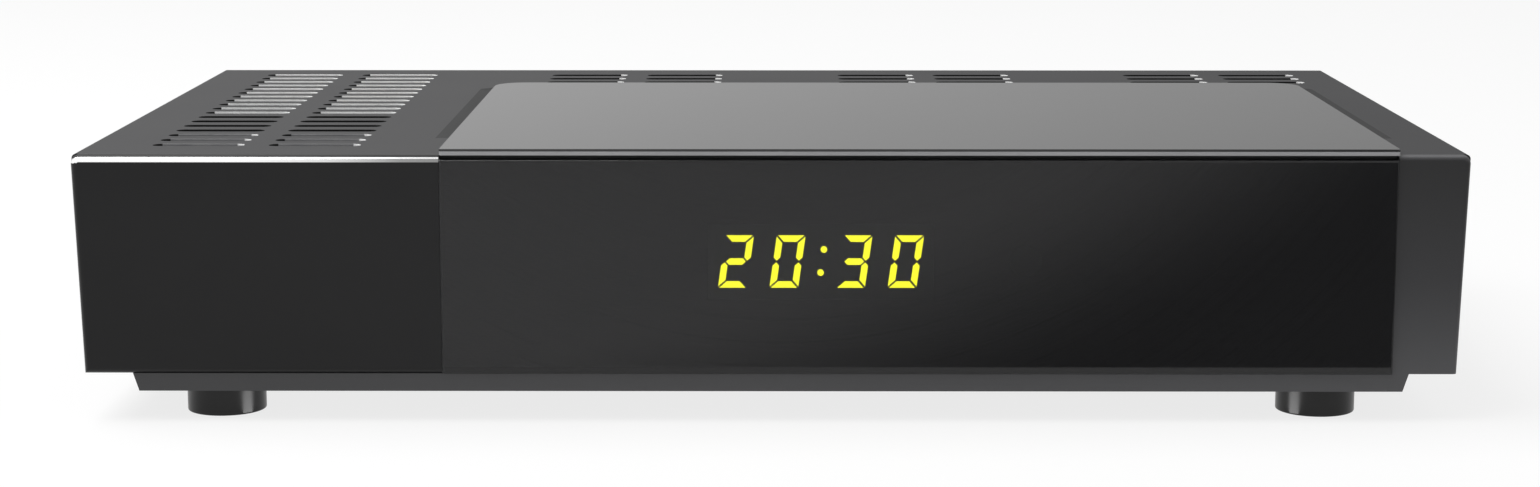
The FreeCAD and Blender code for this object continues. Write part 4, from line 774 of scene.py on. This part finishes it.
FIGURES = {"0": "abcdef", "2": "abged", "3": "abgcd"}
bm = bmesh.new()
for centre, figure in zip((-15.975, -6.275, 6.275, 15.975), "2030"):
    for bar in FIGURES[figure]:
        prism(bm, [Vector((CLOCK_X + centre + u + v * LEAN, CLOCK_Z + v))
                   for u, v in bar_outline(bar)], *FACE, facing_front)
for side in (-2.2, 2.2):
    turned(bm, [(0.62, -FACE[1]), (0.62, -FACE[0])],
           (CLOCK_X + 0.25 + side * LEAN, 0, CLOCK_Z + 0.1 + side), steps=32)
join_in(object_from("clock_bars", bm, lit_bar), "lit_segments", slot="lit_plastic")
print("clock shows 20:30")

# %% [markdown]
# ## Feet
# Each foot is a rubber pad with small rounded rims and a square peg that is
# pressed into the tray.

# %% Four feet
FEET = {"front_left": (-105, -67.8), "front_right": (105, -67.8),
        "rear_left": (-105, 53.0), "rear_right": (105, 53.0)}
for name, (x, y) in FEET.items():
    bm = bmesh.new()
    turned(bm, arc(7.2, 0.3, 0.3, -90, 0) + arc(7.3, 6.4, 0.2), (x, y, 0), axis="z", steps=64)
    prism(bm, oblong(x, y, 4.0, 4.0), 6.4, 9.0, flat_z)
    join_in(object_from("rubber_foot_" + name, bm, foot_rubber), "foot_" + name, slot="foot_rubber")
print(len(FEET), "feet")

# %% [markdown]
# ## Screws
# The three screws of the cover have flat domed heads with a cross recess. The
# recess is cut by two tapered blades, one after the other, because a cutter
# that crosses itself isn't a clean solid.

# %% Cover screws
bm = bmesh.new()
for x in SCREWS:
    thread = [(1.2 + 0.25 * (i % 2), 66.0 + 0.25 * i) for i in range(20)]
    dome = [(2.8, 71.0), (2.8, 71.5)]
    dome += [(2.8 - 1.6 * (step / 6) ** 2, 71.5 + 1.3 * math.sin(step / 6 * math.pi / 2))
             for step in range(1, 7)]
    turned(bm, thread + dome, (x, 0, SCREW_HEIGHT), steps=36)
screws = object_from("cross_screws", bm, zinc)
for turn in (0.3, 0.3 + math.pi / 2):
    bm = bmesh.new()
    for x in SCREWS:
        loft(bm, [[(u, y, v) for u, v in spun(oblong(0, 0, length, width), turn, x, SCREW_HEIGHT)]
                  for length, width, y in ((1.4, 0.5, 71.7), (3.0, 0.7, 73.0))])
    carve(screws, object_from("driver", bm, zinc))
join_in(screws, "cover_screws", slot="screw_steel")
print(len(SCREWS), "screws")

# %% [markdown]
# ## Aerial sockets
# An aerial socket is a barrel with a fine thread, 32 turns to the inch, which
# is 0.79 mm from crest to crest. The thread here is a true helix: each point
# of the barrel's skin takes its radius from how far it is along the turn.

# %% Threaded barrels, contacts and insulators
AERIALS, AERIAL_HEIGHT = {"lnb_socket": 106.0, "loop_socket": 84.0}, 22.5
PITCH, CREST, THREAD_DEPTH = 25.4 / 32, 4.76, 0.42
SHOULDER, SHOULDER_END = 5.0, 72.3


def barrel_radius(y, angle):
    """The barrel's radius: a plain shoulder, then a helical thread between plain ends."""
    if y <= SHOULDER_END:
        return SHOULDER
    if not 72.6 < y < 80.8:
        return CREST
    phase = (y / PITCH - angle / math.tau) % 1.0
    return CREST - THREAD_DEPTH * (1 - abs(2 * phase - 1))


stations = [69.1, SHOULDER_END] + [72.31 + 0.13 * i for i in range(66)] + [80.9]
for name, x in AERIALS.items():
    bm = bmesh.new()
    rings = [ring_about(x, AERIAL_HEIGHT, y, lambda angle: barrel_radius(y, angle))
             for y in stations]
    rings += [ring_about(x, AERIAL_HEIGHT, y, lambda angle: radius)
              for radius, y in ((4.5, 81.0), (3.5, 81.0), (3.3, 80.8), (3.3, 73.0))]
    loft(bm, rings)
    join_in(object_from("threaded_" + name, bm, nickel), name, slot="socket_nickel", angle=40)
    bm = bmesh.new()
    turned(bm, [(0.75, 79.6), (0.95, 79.8), (0.95, 80.3), (0.55, 80.3), (0.45, 77.5)],
           (x, 0, AERIAL_HEIGHT), steps=24)
    join_in(object_from("contact_of_" + name, bm, brass), slot="socket_nickel")
bm = bmesh.new()
for x in AERIALS.values():
    turned(bm, [(3.2, 73.1), (3.2, 79.9), (2.9, 80.1), (1.5, 80.1), (1.2, 79.7), (1.2, 79.5)],
           (x, 0, AERIAL_HEIGHT), steps=36)
join_in(object_from("white_insulators", bm, white_nylon), "socket_insulators",
        slot="insulator_plastic")
print(len(AERIALS), "aerial sockets")

# %% [markdown]
# ## Hexagon nuts
# A nut's corners are turned off at both faces. Cutting a hexagon prism with a
# turned cone would do it; here each ring of the nut pulls its corners in.

# %% Two nuts
ACROSS_FLATS, ACROSS_CORNERS = 11.0, 12.7


def nut_reach(angle, pull):
    """How far a hexagon reaches at an angle, with its corners pulled in."""
    sixth = math.pi / 3
    flat = ACROSS_FLATS / 2 / math.cos((angle + sixth / 2) % sixth - sixth / 2)
    return min(flat, ACROSS_CORNERS / 2 - pull)


bm = bmesh.new()
for x in AERIALS.values():
    rings = [ring_about(x, AERIAL_HEIGHT, y, lambda angle: nut_reach(angle, pull))
             for y, pull in ((70.1, 0.55), (70.5, 0.0), (71.9, 0.0), (72.3, 0.55))]
    rings += [ring_about(x, AERIAL_HEIGHT, y, lambda angle: radius)
              for radius, y in ((5.25, 72.3), (5.06, 72.1), (5.06, 70.3), (5.25, 70.1))]
    loft(bm, rings, closed=True)
join_in(object_from("hexagon_nuts", bm, nickel), "socket_nuts", slot="socket_nickel")
print(len(AERIALS), "nuts")

# %% [markdown]
# ## Phono socket
# The digital sound socket is a plain nickel sleeve with a rolled rim around a
# coloured insulator with a hole for the plug's pin.

# %% Sleeve and core
PHONO = (62.0, 0, 21.5)
bm = bmesh.new()
turned(bm, [(3.4, 70.1), (4.15, 70.1), (4.15, 78.2), (4.0, 78.5), (3.7, 78.6), (3.45, 78.4),
            (3.4, 78.0)], PHONO)
sleeve = object_from("phono_sleeve", bm, nickel)
bm = bmesh.new()
turned(bm, [(3.35, 69.0), (3.35, 79.0)], PHONO)
carve(sleeve, object_from("bore", bm, nickel))
join_in(sleeve, "audio_socket", slot="socket_nickel")
orange = plain("orange_nylon", "c8601c", "d66a20", 2, 0.4)
bm = bmesh.new()
block = rounded([(56.5, 15.0, 0.4), (67.5, 15.0, 0.4), (67.5, 28.0, 0.4), (56.5, 28.0, 0.4)], 3)
prism(bm, block, 60.3, 69.2, facing_rear)
prism(bm, oblong(PHONO[0], PHONO[2], 10.0, 10.0), 69.2, 70.1, facing_rear)
turned(bm, [(3.3, 70.1), (3.3, 77.7), (3.0, 78.0), (1.9, 78.0), (1.7, 77.6), (1.7, 72.0)],
       PHONO, steps=36, index=1)
join_in(object_from("phono_housing", bm, black_pbt, orange), "audio_housing",
        slot="connector_plastic")
print("phono socket")

# %% [markdown]
# ## Contacts
# The 21-pin socket has a springy contact in each slot, ten below and eleven
# above, and the two data sockets have thin gold strips on their tongues.

# %% Contacts of the three sockets
BOARD_TOP = 15.0
SCART_X, SCART_Z, PIN_PITCH = 24.0, 22.5, 3.81
bm = bmesh.new()
for count, drop in ((10, -2), (11, 2)):
    for i in range(count):
        x = SCART_X + PIN_PITCH * (i - (count - 1) / 2)
        prism(bm, oblong(x, SCART_Z + drop, 0.45, 2.0), 66.2, 69.6, facing_rear)
join_in(object_from("scart_contacts", bm, nickel), slot="socket_nickel")

# middle, height on the board, number, pitch, size and start of each tongue's strips
STRIPS = ((-20, 5.8 * 0.56 + 0.72, 10, 1.0, (0.45, 0.08), 63.0),
          (-44, 6.8 * 0.56 + 0.98, 4, 2.3, (1.0, 0.1), 60.5))
bm = bmesh.new()
for middle, height, count, pitch, size, start in STRIPS:
    for i in range(count):
        x = middle + (i - (count - 1) / 2) * pitch
        prism(bm, oblong(x, BOARD_TOP + height, *size), start, 69.3, facing_rear)
join_in(object_from("gold_strips", bm, brass), slot="socket_nickel")
print("contacts in three sockets")

# %% [markdown]
# ## The rocker's marks
# A bar and a ring are the usual signs for on and off. Each is a raised mark,
# 0.15 mm high, on its half of the rocker, and tilts with it. A half slopes by
# 11.3 degrees from the rocker's middle, which rests tilted by 8 degrees.

# %% On and off
RAISED = 0.15
rocker_at_rest = (Matrix.Translation((-84.0, 70.4, 26.0))
                  @ Matrix.Rotation(math.radians(-8), 4, "X"))


def on_half(height, slope):
    """A placing function for the face of one half of the rocker."""
    seat = (rocker_at_rest @ Matrix.Translation((0, 3.35, height))
            @ Matrix.Rotation(math.radians(slope - 90), 4, "X"))
    return lambda u, v, w: seat @ Vector((u, v, w))


bm = bmesh.new()
bar = rounded([(-0.45, -1.8, 0.2), (0.45, -1.8, 0.2), (0.45, 1.8, 0.2), (-0.45, 1.8, 0.2)], 3)
prism(bm, bar, 0.0, RAISED, on_half(3.9, -11.3))
on_low_half = on_half(-3.9, 11.3)
loft(bm, [[on_low_half(u, v, up) for u, v in
           ((radius * math.cos(i * math.pi / 16), radius * math.sin(i * math.pi / 16))
            for i in range(32))]
          for radius, up in ((1.9, 0.0), (1.9, RAISED), (1.3, RAISED), (1.3, 0.0))], closed=True)
join_in(object_from("rocker_marks", bm, mark_white), body="rocker", slot="connector_plastic")
print("rocker marked")

# %% [markdown]
# ## Pins of the mains inlet
# The two pins have domed ends, so that the plug finds its way on.

# %% Inlet pins
bm = bmesh.new()
for x in (-113.3, -104.7):
    turned(bm, [(1.2, 58.7)] + arc(0, 66.5, 1.2, steps=6), (x, 0, 26.0), steps=32)
join_in(object_from("domed_pins", bm, nickel), "inlet_pins", slot="socket_nickel")
print("inlet pins")

# %% [markdown]
# ## Capacitors
# A can capacitor is an aluminium can in a shrunk sleeve, with a rolled groove
# near its foot and three scored lines on its top that let it vent. The scored
# lines are a painted shade in the creases.

# %% Sleeves, tops and scored lines
shrink_sleeve = plain("shrink_sleeve", "14202c", "182838", 8, 0.3, grain_mm=2 / 3, IOR=1.5)


def capacitor(bm, x, y, radius, height):
    """A can with a groove, a rounded shoulder and a recessed top."""
    low, high = BOARD_TOP, BOARD_TOP + height
    foot = [(radius * 0.8, low), (radius, low + 0.5), (radius, low + 1.6),
            (radius * 0.93, low + 2.1), (radius, low + 2.6)]
    lip = [(radius - 0.9, high), (radius - 1.0, high - 0.3)]
    turned(bm, foot + arc(radius - 0.6, high - 0.6, 0.6) + lip, (x, y, 0), axis="z", steps=40)
    turned(bm, [(radius - 1.0, high - 0.5), (radius - 1.0, high - 0.28), (0.1, high - 0.2)],
           (x, y, 0), axis="z", steps=40, index=1)
    for turn in range(3):
        prism(bm, spun(oblong(0, 0, radius, 0.25), turn * math.pi / 3, x, y),
              high - 0.26, high - 0.14, flat_z, index=2)


# x, y, radius and height of each can
CANS = {"bulk_capacitor": [(-110, 24, 8, 27)],
        "output_capacitors": [(-79, -20, 5, 20), (-90, -20, 5, 20)],
        "board_capacitors": [(-40, -10, 4, 11), (-40, 0, 4, 11)]}
# the scored lines on each can's top take the slots' painted-shade finish
for node, cans in CANS.items():
    bm = bmesh.new()
    for can in cans:
        capacitor(bm, *can)
    join_in(object_from("sleeved_" + node, bm, shrink_sleeve, aluminium, painted_shade_edge), node,
            slot="capacitor_sleeve")
print(sum(len(cans) for cans in CANS.values()), "capacitors")

# %% [markdown]
# ## Small parts on the board
# Between the large parts a board carries many small resistors, capacitors and
# coils. A seeded scatter sets them out in rows on the free areas, each with
# two bright solder ends.

# %% Surface parts
random.seed(12)
# middle and half size of each area that a large part takes
TAKEN = [(30, -8, 20, 20), (64, -8, 8, 18), (4, -34, 7, 6), (-30, -26, 6, 6), (-40, -5, 8, 10),
         (95, 49, 24, 24), (62, 64, 9, 9), (24, 64, 28, 12), (-20, 64, 10, 12), (-44, 64, 10, 14),
         (-49, -30, 6, 10), (0, -53, 15, 6)]
BODIES = [(1.6, 0.8, 0.5), (2.0, 1.25, 0.8), (3.2, 1.6, 0.9)]
bm = bmesh.new()
placed = 0
for column in range(30):
    for row in range(18):
        x = -46 + column * 5.4 + random.uniform(-0.6, 0.6)
        y = -48 + row * 6.2 + random.uniform(-0.6, 0.6)
        if (random.random() < 0.35 or y > 58
                or any(abs(x - a) < w and abs(y - b) < d for a, b, w, d in TAKEN)):
            continue
        length, width, tall = random.choice(BODIES)
        lengthwise = random.random() < 0.5
        size = (length, width) if lengthwise else (width, length)
        prism(bm, oblong(x, y, *size), BOARD_TOP + 0.02, BOARD_TOP + tall, flat_z)
        for side in (-1, 1):
            shift = side * (length / 2 + 0.12)
            end = (x + shift, y, 0.3, width) if lengthwise else (x, y + shift, width, 0.3)
            prism(bm, oblong(*end), BOARD_TOP + 0.02, BOARD_TOP + tall + 0.03, flat_z, index=1)
        placed += 1
join_in(object_from("surface_parts", bm, chip_epoxy, nickel), slot="chip_plastic")
print(placed, "small parts")

# %% [markdown]
# ## Wires
# Wires bend in smooth curves. Each one is a NURBS curve with a round section,
# and its control points are the stations of its route.


# %% Round wires
def line_along(name, points):
    """A smooth NURBS line along its control points."""
    curve = bpy.data.curves.new(name, "CURVE")
    curve.dimensions = "3D"
    line = curve.splines.new("NURBS")
    line.points.add(len(points) - 1)
    for spot, point in zip(line.points, points):
        spot.co = (*(value * MM for value in point), 1)
    line.order_u = 3
    line.use_endpoint_u = True
    line.resolution_u = 12
    item = bpy.data.objects.new(name, curve)
    bpy.context.scene.collection.objects.link(item)
    return item


def wire(name, points, radius, material, *stands_for):
    """A round wire inside the case."""
    item = line_along(name, points)
    item.data.bevel_depth = radius * MM
    item.data.bevel_resolution = 4
    item.data.use_fill_caps = True
    item.data.materials.append(material)
    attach(item, "case")
    if stands_for:
        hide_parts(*stands_for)


SUPPLY_ROUTE = ((-69, 22), (-69, 25), (-69, 28), (-66, 29.2), (-59, 29.2), (-52, 29.2), (-49, 28),
                (-49, 25), (-49, 22))
for i in range(7):
    y = -30 + (i - 3) * 1.62
    stands = ("power_cable",) if i == 0 else ()
    wire(f"supply_wire_{i}", [(x, y, z) for x, z in SUPPLY_ROUTE], 0.75,
         red_pvc if i % 2 else chip_epoxy, *stands)
wire("mains_wire_live", [(-113.3, 54.1, 26), (-113.3, 48, 26), (-113.3, 43.1, 26),
                         (-113.3, 43.1, 20), (-113.3, 43.1, 15)], 0.88, blue_pvc, "mains_wires")
wire("mains_wire_switch", [(-104.7, 54.1, 26), (-104.7, 50, 26), (-104.7, 46.1, 26),
                           (-104.7, 46.1, 31), (-99, 46.1, 31), (-89, 46.1, 31), (-84, 46.1, 31),
                           (-84, 49.1, 31)], 0.88, brown_pvc)
wire("mains_wire_board", [(-84, 49.1, 21), (-84, 45, 21), (-84, 41.1, 21), (-84, 41.1, 18),
                          (-84, 41.1, 15)], 0.88, brown_pvc)
print("ten wires")

# %% [markdown]
# ## The ribbon to the display
# The flat ribbon takes its line from a NURBS curve too. The line's stations are
# read back, and a thin rectangle, 20 mm wide, is skinned along them. Ribs in
# its finish stand for the single leads.

# %% Ribbon
HALF_WIDE, HALF_THICK = 10, 0.14
guide = line_along("guide", [
    (0, -67.55, 23.5), (0, -67.55, 26), (0, -67.55, 28.6), (0, -66.2, 29.45), (0, -60.5, 29.45),
    (0, -54.4, 29.45), (0, -53.05, 28.2), (0, -53.05, 24), (0, -53.05, 19.0)])
line = bpy.data.meshes.new_from_object(guide.evaluated_get(bpy.context.evaluated_depsgraph_get()))
spots = [v.co / MM for v in line.vertices]
bpy.data.objects.remove(guide)
bm = bmesh.new()
rings = []
for i, spot in enumerate(spots):
    way = (spots[min(i + 1, len(spots) - 1)] - spots[max(i - 1, 0)]).normalized()
    up = Vector((0, -way.z, way.y)) * HALF_THICK
    rings.append([spot + Vector((side * HALF_WIDE, 0, 0)) + sign * up
                  for side, sign in ((-1, -1), (1, -1), (1, 1), (-1, 1))])
loft(bm, rings)
ribbon_pvc, tree, shader, where = start_material("grey_ribbon_cable", Roughness=0.4, IOR=1.5)
ribs = add_node(tree, "TexWave", {"Vector": where, "Scale": 0.25, "Distortion": 0.0},
                bands_direction="X")
tone = add_node(tree, "ValToRGB", {"Fac": ribs.outputs["Fac"]})
set_chips(tone, "6e6e70", "9a9a9c")
tree.links.new(tone.outputs["Color"], shader.inputs["Base Color"])
relief(tree, shader, ribs.outputs["Fac"], 0.1, 0.6)
join_in(object_from("flat_ribbon", bm, ribbon_pvc), "display_ribbon", slot="wire_sleeve")
print(len(spots), "stations along the ribbon")

# %% [markdown]
# ## The floor
# The floor is a plain pale table. The camera and mirrored rays see most of it
# as white, and its own diffuse part keeps the soft shadow under the receiver.

# %% The floor
WHITE_SHARE = 0.8
bpy.ops.mesh.primitive_plane_add(size=8, location=(0, 0, 0))
floor = bpy.context.object
floor.name = "floor"
pale, tree, shader, _ = start_material(
    "pale_floor", Roughness=0.9, Base_Color=colour("f4f4f4"), Specular_IOR_Level=0.1)
rays = add_node(tree, "LightPath")
white = add_node(tree, "Emission", {"Color": (1, 1, 1, 1), "Strength": 1.0})
seen = add_node(tree, "Math", {
    0: rays.outputs["Is Camera Ray"], 1: rays.outputs["Is Glossy Ray"]}, operation="MAXIMUM")
share = add_node(tree, "Math", {0: seen, 1: WHITE_SHARE}, operation="MULTIPLY")
lifted = add_node(tree, "MixShader", {0: share, 1: shader, 2: white})
tree.links.new(lifted.outputs[0], tree.get_output_node("ALL").inputs["Surface"])
floor.data.materials.append(pale)
print("floor laid")

# %% [markdown]
# ## A dark card in front
# In a studio, cards on the table shape what a gloss front mirrors. One lies in
# front, outside the camera's view, and shades from the table's own white at
# the left to grey at the right, along a line that slants and bends a little.
# The window mirrors it, so its right half turns deep black. The card is seen
# in mirrored light only, and casts no shadow; its colour is a painted reflection.


# %% The card
def lay_card(name, spots, material):
    """A card just above the table, which only mirrored rays see."""
    bm = bmesh.new()
    bm.faces.new([bm.verts.new((x, y, 0.3)) for x, y in spots])
    card = object_from(name, bm, material)
    for rays in ("camera", "diffuse", "shadow", "transmission"):
        setattr(card, "visible_" + rays, False)
    return card


MIDDLE_X, HALF_FADE = 136, 62.0         # where the shade is half dark, and how soft it is
MIDDLE_Y, SLANT, BEND = -414.0, 0.385, 0.00025
# the card's colour is a painted reflection, from table white at the left to grey at the right
painted_reflection_card, tree, shader, where = start_material(
    "painted_reflection_card", Roughness=0.9, Specular_IOR_Level=0.1)
spot = add_node(tree, "SeparateXYZ", {"Vector": where})
back = add_node(tree, "Math", {0: spot.outputs["Y"], 1: -MIDDLE_Y}, operation="ADD")
square = add_node(tree, "Math", {0: back, 1: back}, operation="MULTIPLY")
bend = add_node(tree, "Math", {0: square, 1: BEND, 2: spot.outputs["X"]}, operation="MULTIPLY_ADD")
slant = add_node(tree, "Math", {0: back, 1: SLANT, 2: bend}, operation="MULTIPLY_ADD")
fade = add_node(tree, "MapRange", {
    "Value": slant, "From Min": MIDDLE_X - HALF_FADE, "From Max": MIDDLE_X + HALF_FADE},
    interpolation_type="SMOOTHSTEP")
tone = add_node(tree, "Mix", {0: fade}, data_type="RGBA")
tone.inputs[6].default_value, tone.inputs[7].default_value = colour("f4f4f4"), colour("808080")
tree.links.new(tone.outputs[2], shader.inputs["Base Color"])
lay_card("dark_card", ((-120, -900), (900, -900), (900, -131), (-120, -131)), painted_reflection_card)
print("card laid")

# %% [markdown]
# ## Two lit cards by the feet
# A round moulded foot shows a narrow upright highlight where a strip of light
# mirrors in its side. Here a small glowing wedge lies beside each front foot,
# towards the middle. Its light is linked to that foot, and it is clear to
# everything else.

# %% The lit cards
lit_card = bpy.data.materials.new("lit_card")
lit_card.use_nodes = True
tree = lit_card.node_tree
tree.nodes.clear()
clear = add_node(tree, "BsdfTransparent")
glow = add_node(tree, "Emission", {"Color": (1, 1, 1, 1), "Strength": 7.2})
paper = add_node(tree, "AddShader", {0: clear, 1: glow})
add_node(tree, "OutputMaterial", {"Surface": paper})


def towards(degrees, reach, inward):
    """A step in plan, at an angle from straight ahead to the middle."""
    angle = math.radians(degrees)
    return Vector((inward * math.sin(angle), -math.cos(angle))) * reach


for foot, inward in (("foot_front_left", 1), ("foot_front_right", -1)):
    low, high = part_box(foot)
    axis = Vector(((low[0] + high[0]) / 2, (low[1] + high[1]) / 2)) / MM
    tip = axis + towards(42, 7.8, inward)
    outline = [axis + towards(34, 7.6, inward)]
    outline += [tip + towards(turn, 30, inward) for turn in (55, 73, 91)]
    outline += [axis + towards(50, 7.6, inward)]
    wedge = lay_card("lit_card_by_" + foot, outline, lit_card)
    lit_piece = bpy.data.collections.new("lit_by_card_at_" + foot)
    lit_piece.objects.link(bpy.data.objects["rubber_" + foot])
    wedge.light_linking.receiver_collection = lit_piece
print("two lit cards laid")

# %% [markdown]
# ## The room
# A bright room fills in from all sides. It is white where the camera sees it.
# In reflections it is white overhead and in front, and falls off behind the
# receiver towards the right, as a real backdrop does.

# %% The room
world = bpy.data.worlds.new("studio")
bpy.context.scene.world = world
world.use_nodes = True
tree = world.node_tree
tree.nodes.clear()
rays = add_node(tree, "LightPath")
place = add_node(tree, "TexCoord")
way = add_node(tree, "SeparateXYZ", {"Vector": place.outputs["Generated"]})
across = add_node(tree, "MapRange", {
    "Value": way.outputs["X"], "From Min": -0.15, "From Max": 0.3,
    "To Min": 0.67, "To Max": 0.365})
behind = add_node(tree, "MapRange", {
    "Value": way.outputs["Y"], "From Min": 0.3, "From Max": 0.85},
    interpolation_type="SMOOTHSTEP")
level = add_node(tree, "Mix", {0: behind, 2: 1.0, 3: across})
mirrored, soft, white = (
    add_node(tree, "Background", {"Color": (1, 1, 1, 1), "Strength": strength})
    for strength in (level, 0.5, 1.0))
sharp = add_node(tree, "Math", {
    0: rays.outputs["Is Glossy Ray"], 1: rays.outputs["Is Transmission Ray"]},
    operation="MAXIMUM")
mix = add_node(tree, "MixShader", {0: sharp, 1: soft, 2: mirrored})
seen = add_node(tree, "MixShader", {0: rays.outputs["Is Camera Ray"], 1: mix, 2: white})
add_node(tree, "OutputWorld", {"Surface": seen})
print("room lit")

# %% [markdown]
# ## The lamp
# One large soft lamp hangs above and to the left, and points at the receiver.
# Its size keeps the shadows' edges soft.

# %% The lamp
lamp = bpy.data.lights.new("softbox", "AREA")
lamp.shape = "RECTANGLE"
lamp.size = 1.2
lamp.size_y = 0.9
lamp.energy = 14
softbox = bpy.data.objects.new("softbox", lamp)
bpy.context.scene.collection.objects.link(softbox)
softbox.location = (-0.55, -0.1, 1.1)
softbox.rotation_euler = (-softbox.location).to_track_quat("-Z", "Y").to_euler()
print("softbox at", tuple(round(v, 2) for v in softbox.location))

# %% [markdown]
# ## The camera
# The camera stands 0.6 m in front at table height and looks down by 9.45
# degrees, so that the roof is seen at a low angle. Its lens is a short
# telephoto, 67 mm on a 36 mm sensor.

# %% The camera
lens = bpy.data.cameras.new("camera")
lens.lens = 67.44
lens.sensor_width = 36
lens.sensor_fit = "HORIZONTAL"
lens.clip_start = 0.01
camera = bpy.data.objects.new("camera", lens)
bpy.context.scene.collection.objects.link(camera)
camera.location = (0.0022, -0.6126, 0.12292)
camera.rotation_euler = (math.radians(90 - 9.45), 0, math.radians(0.243))
bpy.context.scene.camera = camera
bpy.context.scene.view_settings.view_transform = "Standard"
print("camera at", tuple(round(v, 3) for v in camera.location))
